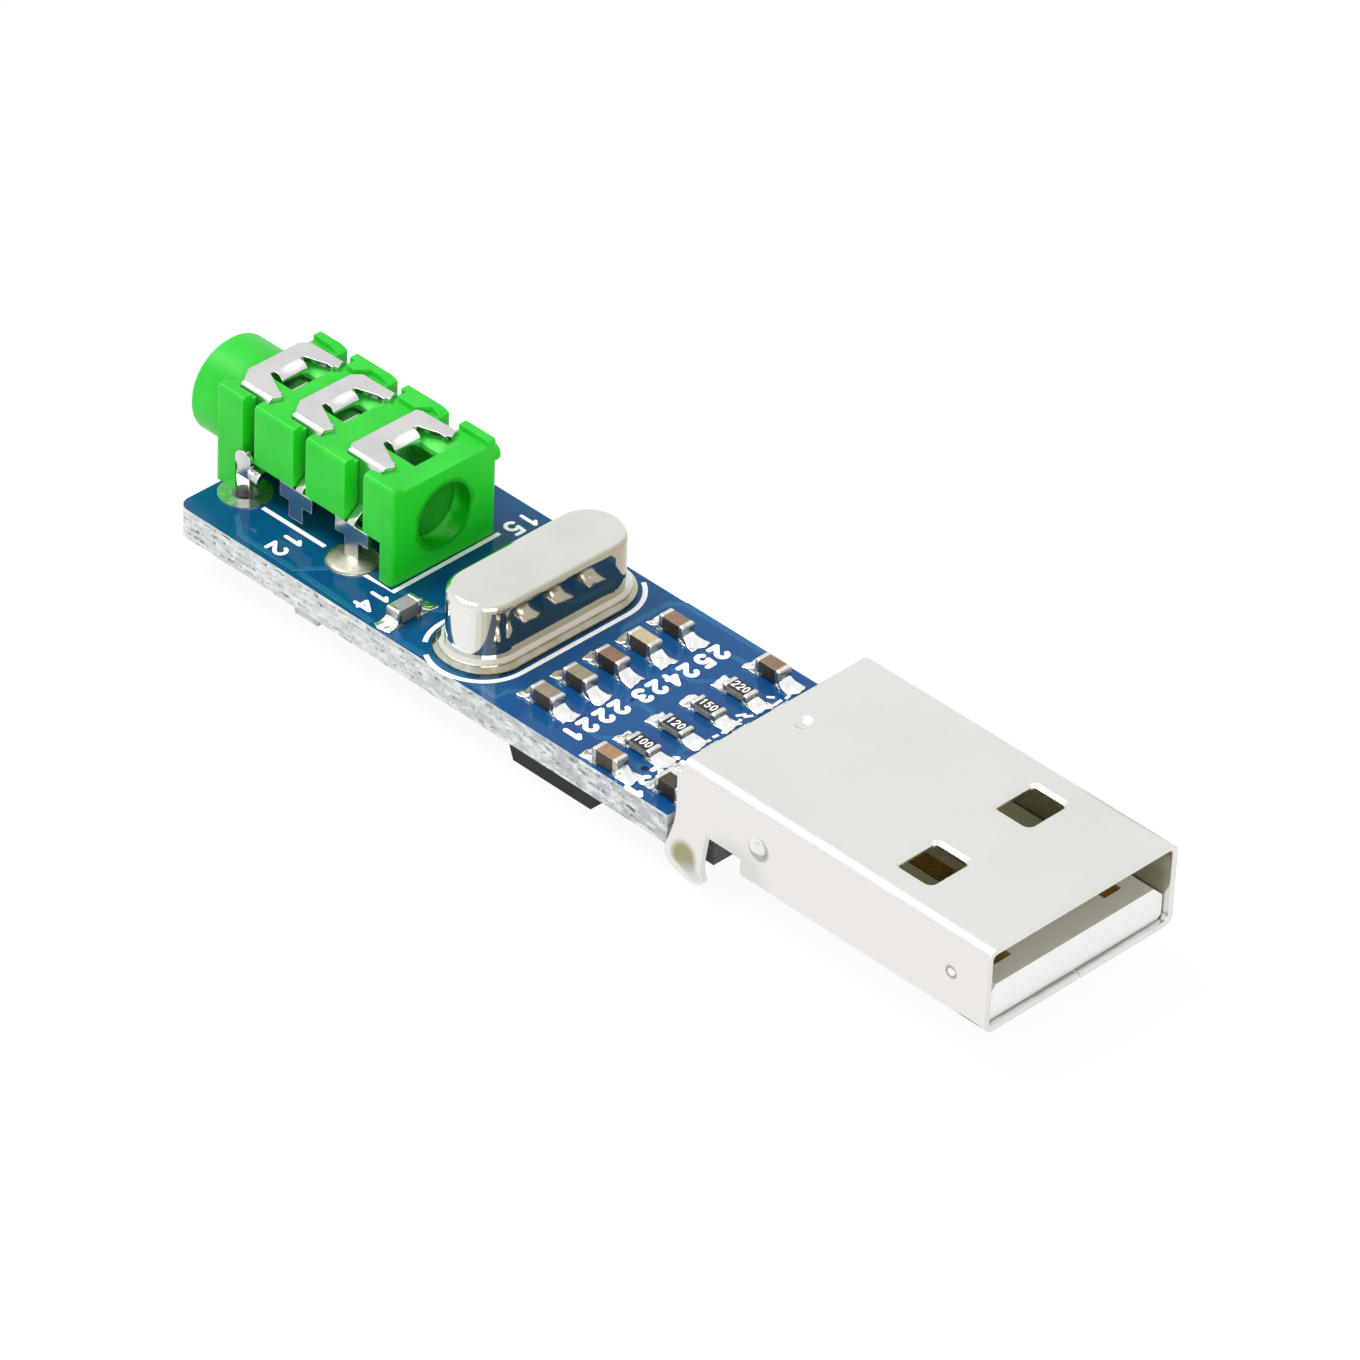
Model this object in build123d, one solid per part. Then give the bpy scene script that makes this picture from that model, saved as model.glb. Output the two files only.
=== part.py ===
from build123d import *
import math
import os

# A bare sound adapter board: an audio jack at one end, a folded plug shell at the other.
# Millimetres. +X runs from the jack to the mouth of the plug, +Y across, +Z up.
# The origin is under the middle of the whole part, at the level of its lowest face.

# Plug shell, folded from one sheet
PLUG_LENGTH = 18.75
PLUG_WIDTH = 12.0
PLUG_HEIGHT = 4.5
SHELL_SHEET = 0.3
SHELL_BEND = 0.55
PLUG_OVERLAP = 1.75
PLUG_DROP = 1.06
NOTCH_LENGTH = 3.8
SIDE_REAR_STEP = 0.28
WINDOW_BACK = 5.14
WINDOW_LENGTH = 2.04
WINDOW_ACROSS = 2.42
WINDOW_PITCH = 6.2
WINDOW_CORNER = 0.25
WINDOW_BEVEL = 0.16
RIM_TAPER = 44
SEAM_GAP = 0.12
SIDE_DIMPLE_FROM_REAR = 4.82
SIDE_DIMPLE_HEIGHT = 2.23
SIDE_DIMPLE_RADIUS = 0.45
TOP_DIMPLE_FROM_REAR = 1.56
TOP_DIMPLE_RADIUS = 0.52
DIMPLE_DEPTH = 0.18
DIMPLE_FLOOR = 0.22
PRICK_BACK = 2.02
PRICK_HEIGHT = 2.31
PRICK_RADIUS = 0.2
PRICK_DEPTH = 0.12

# Shell legs that clasp the sides of the board, measured from the shell's rear edge
LEG_BEHIND = 0.62
LEG_AHEAD = 1.65
LEG_TIP_RADIUS = 1.2
LEG_BELOW = 1.5
LEG_BULGE = 0.36
LEG_TIP_IN = 0.28
LEG_BEND = 1.5
LEG_ROOT = 2.85
LEG_OUTWARD_START = 0.35
LEG_SHOULDER = 0.3
NOTCH_LIFT = 0.14

# Board
BOARD_LENGTH = 34.8
BOARD_WIDTH = 12.0
BOARD_THICK = 1.6
BOARD_CORNER = 0.7
BOARD_GAP = 0.15

# White moulding in the plug
TONGUE_THICK = 1.85
TONGUE_SET_BACK = 0.35
TONGUE_CORNER = 0.6
BACK_BLOCK_START = 10.6
BACK_BLOCK_STEP = 1.0
LOWER_BLOCK_INSET = 0.35
UPPER_BLOCK_INSET = 0.3
MOULDING_GAP = 0.08
MOULDING_CORNER = 0.2

# Plug contacts
PIN_PITCH_OUTER = 7.0
PIN_PITCH_INNER = 2.0
PIN_WIDTH = 1.0
PIN_SHEET = 0.25
PIN_START_OUTER = 1.45
PIN_START_INNER = 2.2
PIN_TAIL_WIDTH = 0.6
PIN_DROP_BEHIND = 0.55
PIN_BEND = 0.3
PIN_FOOT = 1.5

# Jack moulding
BARREL_LENGTH = 2.88
BARREL_DIAMETER = 5.05
BARREL_EDGE = 0.25
BORE_DIAMETER = 3.6
JACK_OVERHANG = 0.18
JACK_LENGTH = 11.74
JACK_WIDTH = 6.6
JACK_HEIGHT = 5.4
JACK_DECK = 5.12
JACK_AXIS = 2.64
CHAMBER_DIAMETER = 4.1
CHAMBER_START = 0.82
REAR_HOLE_DIAMETER = 3.3
REAR_WALL = 1.05
FRONT_BLOCK = 1.68
MIDDLE_BLOCK = 2.6
SLOT_FRONT = 0.8
SLOT_MIDDLE = 0.85
SLOT_REAR = 1.25
SLOT_FLOOR = 2.2
DECK_HALF = 2.72
UNDERCUT_HEIGHT = 2.17
UNDERCUT_START = 1.2
UNDERCUT_END = 10.93
TUBE_RADIUS = 2.3
BLOCK_EDGE = 0.22
GATE_NUB_RADIUS = 0.5
GATE_NUB_OUT = 0.22
GATE_NUB_DROP = 0.55
DECK_WINDOW_WIDTH = 2.0
DECK_WINDOW_OFFSET = 0.15
DECK_WINDOW_LENGTHS = (1.6, 1.6, 2.2)
FUNNEL_REACH = 0.75
FUNNEL_DEPTH = 0.5
HUMP_REACH = 0.57
HUMP_GAP = 0.12
LUG_SLOPE = 0.6

# Folded jack contacts
CONTACT_SHEET = 0.25
FOLD_LIP = 0.75
FOLD_BEND = 0.17
CONTACT_FRONTS = (0.0, 3.48, 7.58)
PLATE_BAR = 0.95
PLATE_LENGTH = 2.7
PLATE_TIP_CUT = 0.2
PLATE_REACH = 2.45
PLATE_ARM_TIP = 1.78
NEAR_CORNER_CUTS = ((0.55, 1.05), (0.55, 1.05), (0.2, 0.45))
FAR_CORNER_CUTS = ((0.35, 0.65), (0.35, 0.65), (0.2, 0.35))
TONGUE_WIDTH = 1.6
ARM_ROOT_GAP = 0.25
TONGUE_BEND = 0.32
SPRING_DEPTHS = (1.0, 1.0, 1.7)
SPRING_LIP = 0.6
SPRING_DROP = 0.12
SPRING_TIP_BEND = 0.2
LEG_LINE = 3.05
LEG_CENTRES = (1.65, 5.18, 8.92)
LEG_WIDTH = 0.9
FRONT_FOOT_WIDTH = 0.8
CROSS_WIDTHS = (0.9, 2.15, 2.2)
CROSS_TOP = 2.02
CROSS_BOTTOM = 1.25
NECK_WIDTH = 0.45
NECK_TOP = 3.9
CUT_LEG_END = 0.35
JOG_RISE = 0.5
JOG_DROP = 0.05
JOG_BEND = 0.3
HEAD_CENTRE = 1.99
HEAD_RADIUS = 0.52
HEAD_TOP = 2.75
HEAD_NECK = 0.7
HEAD_LINE = 3.45
WEB_HEIGHT = 1.62
WEB_BEND = 0.3
WEB_ARM_END = 2.87
WEB_MARGIN = 0.3
NEAR_LEG_THROUGH = (True, False, True)
HAS_FAR_LEG = (True, True, False)

# Crystal in its flat can
CAN_LENGTH = 10.15
CAN_WIDTH = 3.6
CAN_HEIGHT = 3.5
CAN_EDGE = 0.4
RIM_LENGTH = 10.8
RIM_WIDTH = 4.2
RIM_THICK = 0.28
RIM_EDGE = 0.17
BASE_LENGTH = 11.25
BASE_WIDTH = 4.65
BASE_THICK = 0.42
BASE_EDGE = 0.17
CRYSTAL_PIN_SPACING = 4.88
CRYSTAL_PIN_DIAMETER = 0.43

# How far every pin and leg reaches below the board
PIN_BELOW = 1.5

# Chip under the board
CHIP_LENGTH = 10.2
CHIP_WIDTH = 5.3
CHIP_THICK = 1.74
CHIP_STANDOFF = 0.12
CHIP_DRAFT = 9
CHIP_SPAN = 7.8
CHIP_PITCH = 0.65
CHIP_PINS_PER_SIDE = 14
CHIP_PIN_WIDTH = 0.3
CHIP_PIN_SHEET = 0.15
CHIP_FOOT = 0.62
CHIP_LEAD_SLOPE = 0.1
CHIP_DOT_RADIUS = 0.4
CHIP_DOT_INSET = 0.88
CHIP_DOT_DEPTH = 0.05

# Small two-ended parts
CAP_LENGTH = 1.6
CAP_WIDTH = 0.84
CAP_HEIGHT = 0.82
RESISTOR_LENGTH = 1.62
RESISTOR_WIDTH = 0.86
RESISTOR_HEIGHT = 0.46
UNDER_HEIGHT = 0.62
END_LENGTH = 0.32
END_EDGE = 0.07
BODY_INSET = 0.02

# Pads and solder
PAD_THICK = 0.05
CHIP_PART_PAD_LENGTH = 0.95
CHIP_PART_PAD_WIDTH = 0.95
CHIP_PART_PAD_OUT = 0.58
CHIP_PAD_MARGIN = 0.03
JACK_PAD_RADIUS = 1.33
JACK_HOLE_RADIUS = 0.62
PLUG_PAD_LENGTH = 3.0
PLUG_PAD_WIDTH = 1.1
PLUG_PAD_PAST_FOOT = 0.35
CRYSTAL_PAD_RADIUS = 0.75
CRYSTAL_HOLE_RADIUS = 0.35
JOINT_HEIGHT = 0.9
UPPER_PAD_SIDES = 20
LOWER_PAD_SIDES = 8
JACK_JOINT_TIP = 0.55
CRYSTAL_JOINT_TIP = 0.3
SOLDER_MARGIN = 0.1
DOME_HEIGHT = 0.5
FILLET_RISE_SHARE = 0.75
FILLET_HOLLOW = 0.08
FILLET_RIM = 0.02

# How far a cutting block runs past what it cuts
CUT = 1.0

# Derived chain of places
OVERALL_LENGTH = BARREL_LENGTH + JACK_OVERHANG + BOARD_LENGTH + PLUG_LENGTH - PLUG_OVERLAP
MOUTH_X = OVERALL_LENGTH / 2
BOARD_FRONT = MOUTH_X - PLUG_LENGTH + PLUG_OVERLAP
BOARD_BACK = BOARD_FRONT - BOARD_LENGTH
JACK_FACE = BOARD_BACK - JACK_OVERHANG
BARREL_MOUTH = JACK_FACE - BARREL_LENGTH
BOARD_BOTTOM = CHIP_THICK + CHIP_STANDOFF
BOARD_TOP = BOARD_BOTTOM + BOARD_THICK
PLUG_FLOOR = BOARD_TOP - PLUG_DROP
PLUG_ROOF = PLUG_FLOOR + PLUG_HEIGHT
PIN_END = BOARD_BOTTOM - PIN_BELOW
BORE_Z = BOARD_TOP + JACK_AXIS
JACK_FOOT = BOARD_TOP + PAD_THICK
DECK_Z = BOARD_TOP + JACK_DECK
TONGUE_TOP = PLUG_FLOOR + SHELL_SHEET + TONGUE_THICK
PIN_PLACES = (-PIN_PITCH_OUTER / 2, -PIN_PITCH_INNER / 2, PIN_PITCH_INNER / 2, PIN_PITCH_OUTER / 2)

# Where each row stands, as a share of the way from the jack's rear face to the plug's rear edge
CRYSTAL_SHARE = 0.283
CAP_ROW_SHARE = 0.521
CHIP_SHARE = 0.577
RESISTOR_SHARE = 0.77
PLUG_CAP_SHARE = 0.921

# Small parts across the board, and along it behind or ahead of what they stand by
CAP_ROW_CENTRE = -0.1
CAP_ROW_PITCH = 2.05
CAP_ROW_STEPS = (-2, -1, 0, 1, 2)
RESISTOR_FIRST_Y = -3.4
RESISTOR_PITCH = 2.06
RESISTOR_COUNT = 4
FAR_EDGE_CAP_Y = 4.85
NEAR_EDGE_CAP_Y = -5.35
NEAR_EDGE_CAP_LAG = 0.15
PLUG_CAP_Y = -4.8
NEAR_JACK_CAP_Y = -4.38
NEAR_JACK_CAP_GAP = 1.99
FAR_JACK_CAP_Y = 4.6
FAR_JACK_CAP_GAP = 2.29
UNDER_PART_Y = -5.3
UNDER_PART_FROM_JACK_FACE = 8.63
ACROSS = 90

JACK_REAR = JACK_FACE + JACK_LENGTH
SHELL_REAR = MOUTH_X - PLUG_LENGTH
FREE_LENGTH = SHELL_REAR - JACK_REAR
CRYSTAL_X = JACK_REAR + CRYSTAL_SHARE * FREE_LENGTH
CAP_ROW_X = JACK_REAR + CAP_ROW_SHARE * FREE_LENGTH
CHIP_X = JACK_REAR + CHIP_SHARE * FREE_LENGTH
RESISTOR_X = JACK_REAR + RESISTOR_SHARE * FREE_LENGTH
PLUG_CAP_X = JACK_REAR + PLUG_CAP_SHARE * FREE_LENGTH
PIN_DROP_X = SHELL_REAR - PIN_DROP_BEHIND
PIN_FOOT_X = PIN_DROP_X - PIN_FOOT
CAP_PLACES = tuple((CAP_ROW_X, CAP_ROW_CENTRE + step * CAP_ROW_PITCH, 0) for step in CAP_ROW_STEPS) + (
    (RESISTOR_X, FAR_EDGE_CAP_Y, 0),
    (RESISTOR_X - NEAR_EDGE_CAP_LAG, NEAR_EDGE_CAP_Y, 0),
    (JACK_REAR + NEAR_JACK_CAP_GAP, NEAR_JACK_CAP_Y, ACROSS),
    (JACK_REAR + FAR_JACK_CAP_GAP, FAR_JACK_CAP_Y, ACROSS),
    (PLUG_CAP_X, PLUG_CAP_Y, 0),
)
RESISTOR_PLACES = tuple((RESISTOR_X, RESISTOR_FIRST_Y + step * RESISTOR_PITCH, 0)
                        for step in range(RESISTOR_COUNT))
UNDER_PLACE = (JACK_FACE + UNDER_PART_FROM_JACK_FACE, UNDER_PART_Y, 0)


def place_box(x0, x1, y0, y1, z0, z1):
    """A block between two corners."""
    centre = ((x0 + x1) / 2, (y0 + y1) / 2, (z0 + z1) / 2)
    return Pos(*centre) * Box(x1 - x0, y1 - y0, z1 - z0)


def strip_along_x(points, radii, sheet, x0, x1):
    """A bent sheet whose section lies in the YZ plane, run from x0 to x1."""
    line = FilletPolyline(*points, radius=radii)
    section = Plane.YZ.offset(x0) * trace(line, sheet)
    return extrude(section, x1 - x0)


def strip_along_y(points, radii, sheet, y0, y1):
    """A bent sheet whose section lies in the XZ plane, run from y0 to y1."""
    line = FilletPolyline(*points, radius=radii)
    section = Plane.XZ.offset(-y1) * trace(line, sheet)
    return extrude(section, y1 - y0)


def obround(length, width, z0, height):
    """A round-ended block that lies across the board, its foot at z0."""
    outline = Pos(0, 0, z0) * SlotOverall(length, width, rotation=90)
    return extrude(outline, height)


def board():
    """The circuit board, with its rounded jack end, side notches and drilled holes."""
    outline = Rectangle(BOARD_LENGTH, BOARD_WIDTH)
    outline = fillet(outline.vertices().group_by(Axis.X)[0], BOARD_CORNER)
    slab = extrude(Pos((BOARD_BACK + BOARD_FRONT) / 2, 0, BOARD_BOTTOM) * outline, BOARD_THICK)
    notch_start = SHELL_REAR - LEG_BEHIND - BOARD_GAP
    notch_floor = PLUG_WIDTH / 2 - SHELL_SHEET - BOARD_GAP
    for side in (-1, 1):
        y0 = min(side * notch_floor, side * BOARD_WIDTH)
        y1 = max(side * notch_floor, side * BOARD_WIDTH)
        slab -= place_box(notch_start, BOARD_FRONT + CUT, y0, y1, BOARD_BOTTOM - CUT, BOARD_TOP + CUT)
    for x, y, radius in drilled_holes():
        slab -= Pos(x, y, (BOARD_BOTTOM + BOARD_TOP) / 2) * Cylinder(radius, BOARD_THICK * 2)
    return slab


def jack_leg_places():
    """Middle of each jack leg that passes through the board."""
    front, middle, rear = (JACK_FACE + centre for centre in LEG_CENTRES)
    return ((front, -LEG_LINE), (rear, -LEG_LINE), (front, LEG_LINE), (middle, LEG_LINE))


def crystal_pin_places():
    """Middle of each wire under the crystal."""
    return ((CRYSTAL_X, -CRYSTAL_PIN_SPACING / 2), (CRYSTAL_X, CRYSTAL_PIN_SPACING / 2))


def drilled_holes():
    """Each drilled hole as x, y and radius."""
    holes = [(x, y, JACK_HOLE_RADIUS) for x, y in jack_leg_places()]
    holes += [(x, y, CRYSTAL_HOLE_RADIUS) for x, y in crystal_pin_places()]
    return holes


def slot_spans():
    """Start and end of each side slot, measured from the jack's front face."""
    front = (FRONT_BLOCK, FRONT_BLOCK + SLOT_FRONT)
    middle = (front[1] + MIDDLE_BLOCK, front[1] + MIDDLE_BLOCK + SLOT_MIDDLE)
    rear = (middle[1] + MIDDLE_BLOCK, middle[1] + MIDDLE_BLOCK + SLOT_REAR)
    return (front, middle, rear)


def jack_housing():
    """The green moulding: barrel, slotted block, deck with windows, bore and rear hole."""
    half = JACK_WIDTH / 2
    outline = rectangle_between(-half, half, JACK_FOOT, BOARD_TOP + JACK_HEIGHT)
    outline = fillet(outline.vertices().group_by(Axis.Y)[-1], BLOCK_EDGE)
    block = extrude(Plane.YZ.offset(JACK_FACE) * outline, JACK_LENGTH)
    block -= place_box(JACK_FACE - CUT, JACK_REAR + CUT,
                       -DECK_HALF, DECK_HALF, DECK_Z, DECK_Z + CUT)
    for start, end in slot_spans():
        for side in (-1, 1):
            y0 = min(side * SLOT_FLOOR, side * JACK_WIDTH)
            y1 = max(side * SLOT_FLOOR, side * JACK_WIDTH)
            block -= place_box(JACK_FACE + start, JACK_FACE + end, y0, y1, BOARD_TOP, DECK_Z + CUT)
    under = place_box(JACK_FACE + UNDERCUT_START, JACK_FACE + UNDERCUT_END,
                      -half - CUT, half + CUT, BOARD_TOP, BOARD_TOP + UNDERCUT_HEIGHT)
    tube = along_x(TUBE_RADIUS, JACK_FACE, JACK_REAR)
    block -= under - tube
    rear_edges = block.edges().filter_by(Axis.Y).group_by(Axis.X)[-1].group_by(Axis.Z)[-1]
    block = fillet(rear_edges, BLOCK_EDGE)
    for index, span in enumerate(slot_spans()):
        block -= lug_slope(JACK_FACE + span[0])
        if index + 1 < len(CONTACT_FRONTS):
            block += deck_hump(index)
    barrel = along_x(BARREL_DIAMETER / 2, BARREL_MOUTH, JACK_FACE)
    barrel = chamfer(barrel.edges().group_by(Axis.X)[0], BARREL_EDGE)
    body = block + barrel + gate_nub()
    body -= along_x(BORE_DIAMETER / 2, BARREL_MOUTH - CUT, JACK_FACE + CHAMBER_START)
    body -= along_x(CHAMBER_DIAMETER / 2, JACK_FACE + CHAMBER_START, JACK_REAR - REAR_WALL)
    body -= along_x(REAR_HOLE_DIAMETER / 2, JACK_REAR - REAR_WALL - CUT, JACK_REAR + CUT)
    for front, length in zip(CONTACT_FRONTS, DECK_WINDOW_LENGTHS):
        body -= deck_window(JACK_FACE + front + PLATE_BAR - ARM_ROOT_GAP / 2, length)
    return body


def deck_window(start, length):
    """The opening under a spring, whose far side slopes up to the deck."""
    far = DECK_WINDOW_OFFSET + DECK_WINDOW_WIDTH / 2
    over = DECK_Z + CUT
    section = Polygon(
        (far - DECK_WINDOW_WIDTH, BORE_Z), (far, BORE_Z), (far, DECK_Z - FUNNEL_DEPTH),
        (far + FUNNEL_REACH, DECK_Z), (far + FUNNEL_REACH, over), (far - DECK_WINDOW_WIDTH, over),
        align=None)
    return extrude(Plane.YZ.offset(start) * section, length)


def deck_hump(index):
    """The raised patch of the far rim between one plate's arm and the next plate's cut corner."""
    start = JACK_FACE + CONTACT_FRONTS[index] + PLATE_LENGTH + HUMP_GAP
    end = JACK_FACE + CONTACT_FRONTS[index + 1]
    inner = DECK_HALF - HUMP_REACH
    outline = Polygon((start, inner), (end - HUMP_GAP, inner), (end + FAR_CORNER_CUTS[index][0], DECK_HALF),
                      (start, DECK_HALF), align=None)
    return extrude(Pos(0, 0, DECK_Z) * outline, JACK_HEIGHT - JACK_DECK)


def lug_slope(end):
    """What the far rim loses where it slopes down to the deck at the end of a block."""
    top = BOARD_TOP + JACK_HEIGHT
    profile = Polygon((end - LUG_SLOPE, top), (end, DECK_Z), (end, top + CUT), (end - LUG_SLOPE, top + CUT),
                      align=None)
    return extrude(Plane.XZ.offset(-JACK_WIDTH) * profile, JACK_WIDTH - DECK_HALF)


def gate_nub():
    """The small stub left at the top far corner of the rear face, where the plastic was let in."""
    x = JACK_REAR - GATE_NUB_RADIUS
    z = BOARD_TOP + JACK_HEIGHT - GATE_NUB_DROP - GATE_NUB_RADIUS
    face = Plane.XZ.offset(-JACK_WIDTH / 2 - GATE_NUB_OUT)
    return extrude(face * Pos(x, z) * Circle(GATE_NUB_RADIUS), GATE_NUB_OUT + SLOT_FLOOR - BLOCK_EDGE)


def along_x(radius, x0, x1):
    """A round bar on the jack's axis."""
    return Pos((x0 + x1) / 2, 0, BORE_Z) * Rot(0, 90, 0) * Cylinder(radius, x1 - x0)


def contact_plate(index):
    """The flat M-shaped top of a folded contact, with its front corners cut off."""
    x0 = JACK_FACE + CONTACT_FRONTS[index]
    near_x, near_y = NEAR_CORNER_CUTS[index]
    far_x, far_y = FAR_CORNER_CUTS[index]
    root = x0 + PLATE_BAR
    tip = x0 + PLATE_LENGTH
    offset = DECK_WINDOW_OFFSET
    near = offset - TONGUE_WIDTH / 2 - ARM_ROOT_GAP
    far = offset + TONGUE_WIDTH / 2 + ARM_ROOT_GAP
    edge = PLATE_REACH - CONTACT_SHEET
    outline = Polygon(
        (x0, near_y - PLATE_REACH), (x0 + near_x, -edge), (tip - PLATE_TIP_CUT, -edge),
        (tip, -PLATE_ARM_TIP), (root, near), (root, far), (tip, PLATE_ARM_TIP),
        (tip - PLATE_TIP_CUT, edge), (x0 + far_x, edge), (x0, PLATE_REACH - far_y), align=None)
    return extrude(Pos(0, 0, DECK_Z) * outline, CONTACT_SHEET)


def contact_spring(index):
    """The middle tongue, rolled down through the deck window and turned out at its end."""
    x0 = JACK_FACE + CONTACT_FRONTS[index]
    foot = DECK_Z + CONTACT_SHEET / 2 - SPRING_DEPTHS[index]
    middle = DECK_Z + CONTACT_SHEET / 2
    roll_x = x0 + PLATE_BAR + TONGUE_BEND + CONTACT_SHEET / 2
    points = (
        (x0 + PLATE_BAR / 2, middle), (roll_x, middle), (roll_x, foot),
        (roll_x + SPRING_LIP, foot - SPRING_DROP))
    y0 = DECK_WINDOW_OFFSET - TONGUE_WIDTH / 2
    return strip_along_y(points, (TONGUE_BEND, SPRING_TIP_BEND), CONTACT_SHEET, y0, y0 + TONGUE_WIDTH)


def contact_side(index, leg_end, corner):
    """One folded side of a contact: lip, strip in the slot, cross bar and leg, on the near side."""
    if index == 0:
        return front_contact_side(leg_end, corner)
    x0 = JACK_FACE + CONTACT_FRONTS[index]
    slot_start, slot_end = slot_spans()[index]
    slot_start += JACK_FACE + BOARD_GAP / 2
    slot_end += JACK_FACE - BOARD_GAP / 2
    strip_line = PLATE_REACH - CONTACT_SHEET / 2
    top = DECK_Z + CONTACT_SHEET / 2
    jog = BOARD_TOP + UNDERCUT_HEIGHT
    points = (
        (-strip_line + FOLD_LIP, top), (-strip_line, top), (-strip_line, jog + JOG_RISE),
        (-LEG_LINE, jog - JOG_DROP), (-LEG_LINE, leg_end))
    sheet = strip_along_x(points, (FOLD_BEND, JOG_BEND, JOG_BEND), CONTACT_SHEET,
                          x0 - PLATE_LENGTH, x0 + 2 * PLATE_LENGTH)
    leg_x = JACK_FACE + LEG_CENTRES[index]
    half_leg = LEG_WIDTH / 2
    half_cross = CROSS_WIDTHS[index] / 2
    shape = Plane.XZ * (
        rectangle_between(x0 + corner, x0 + PLATE_LENGTH - PLATE_TIP_CUT, DECK_Z, DECK_Z + CUT)
        + rectangle_between(slot_start, slot_end, BOARD_TOP + NECK_TOP, DECK_Z + CUT)
        + rectangle_between(slot_start, slot_start + NECK_WIDTH, BOARD_TOP + CROSS_BOTTOM, DECK_Z)
        + rectangle_between(leg_x - half_cross, leg_x + half_cross,
                            BOARD_TOP + CROSS_BOTTOM, BOARD_TOP + CROSS_TOP)
        + rectangle_between(leg_x - half_leg, leg_x + half_leg, leg_end - CUT, BOARD_TOP + CROSS_TOP))
    return sheet & extrude(shape, JACK_WIDTH)


def front_contact_side(leg_end, corner):
    """The front contact's side: its strip turns out under the block to a leg with a round head."""
    slot_start, slot_end = slot_spans()[0]
    slot_start += JACK_FACE + BOARD_GAP / 2
    slot_end += JACK_FACE - BOARD_GAP / 2
    strip_line = PLATE_REACH - CONTACT_SHEET / 2
    top = DECK_Z + CONTACT_SHEET / 2
    web = BOARD_TOP + WEB_HEIGHT
    points = (
        (-strip_line + FOLD_LIP, top), (-strip_line, top), (-strip_line, web), (-HEAD_LINE, web),
        (-LEG_LINE, BOARD_TOP), (-LEG_LINE, leg_end))
    sheet = strip_along_x(points, (FOLD_BEND, WEB_BEND, WEB_BEND, WEB_BEND), CONTACT_SHEET,
                          JACK_FACE - PLATE_LENGTH, JACK_FACE + 2 * PLATE_LENGTH)
    head_x = JACK_FACE + HEAD_CENTRE
    leg_x = JACK_FACE + LEG_CENTRES[0]
    half_leg = LEG_WIDTH / 2
    half_foot = FRONT_FOOT_WIDTH / 2
    leg = Polygon(
        (head_x - half_leg, web), (leg_x - half_foot, BOARD_TOP), (leg_x - half_foot, leg_end - CUT),
        (leg_x + half_foot, leg_end - CUT), (leg_x + half_foot, BOARD_TOP), (head_x + half_leg, web),
        align=None)
    shape = Plane.XZ * (
        rectangle_between(JACK_FACE + corner, JACK_FACE + PLATE_LENGTH - PLATE_TIP_CUT, DECK_Z, DECK_Z + CUT)
        + rectangle_between(slot_start, slot_end, BOARD_TOP + NECK_TOP, DECK_Z + CUT)
        + rectangle_between(slot_start, slot_start + NECK_WIDTH, web, DECK_Z)
        + rectangle_between(head_x - half_leg, JACK_FACE + WEB_ARM_END, web - WEB_MARGIN, web + WEB_MARGIN)
        + leg)
    head_z = BOARD_TOP + HEAD_TOP - HEAD_RADIUS
    head = Pos(head_x, head_z) * Circle(HEAD_RADIUS)
    head += rectangle_between(head_x - HEAD_NECK / 2, head_x + HEAD_NECK / 2, web - WEB_MARGIN, head_z)
    face = Plane.XZ.offset(HEAD_LINE - CONTACT_SHEET / 2)
    return (sheet & extrude(shape, JACK_WIDTH)) + extrude(face * head, CONTACT_SHEET)


def rectangle_between(x0, x1, y0, y1):
    """A flat rectangle between two corners."""
    return Pos((x0 + x1) / 2, (y0 + y1) / 2) * Rectangle(x1 - x0, y1 - y0)


def jack_contact(index):
    """A whole folded contact: plate, spring, near side, and far side cut short if it has no leg."""
    near_end = PIN_END if NEAR_LEG_THROUGH[index] else BOARD_TOP + CUT_LEG_END
    near = contact_side(index, near_end, NEAR_CORNER_CUTS[index][0])
    far = mirror(contact_side(index, PIN_END, FAR_CORNER_CUTS[index][0]), Plane.XZ)
    if not HAS_FAR_LEG[index]:
        far -= place_box(JACK_FACE, JACK_REAR, 0, JACK_WIDTH, 0, BOARD_TOP + NECK_TOP)
    return contact_plate(index) + contact_spring(index) + near + far


def crystal_can():
    """The drawn can with its welded rim."""
    foot = BOARD_TOP + BASE_THICK
    can = obround(CAN_LENGTH, CAN_WIDTH, foot, BOARD_TOP + CAN_HEIGHT - foot)
    can = fillet(can.faces().sort_by(Axis.Z)[-1].edges(), CAN_EDGE)
    rim = obround(RIM_LENGTH, RIM_WIDTH, foot, RIM_THICK)
    rim = chamfer(rim.faces().sort_by(Axis.Z)[-1].edges(), RIM_EDGE)
    return Pos(CRYSTAL_X, 0, 0) * (can + rim)


def crystal_base():
    """The flat base that the can is welded to."""
    base = obround(BASE_LENGTH, BASE_WIDTH, BOARD_TOP, BASE_THICK)
    base = chamfer(base.faces().sort_by(Axis.Z)[-1].edges(), BASE_EDGE)
    return Pos(CRYSTAL_X, 0, 0) * base


def crystal_leads():
    """Two wires from the base down through the board."""
    leads = []
    for x, y in crystal_pin_places():
        length = BOARD_TOP - PIN_END
        leads.append(Pos(x, y, BOARD_TOP - length / 2) * Cylinder(CRYSTAL_PIN_DIAMETER / 2, length))
    return leads


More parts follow.
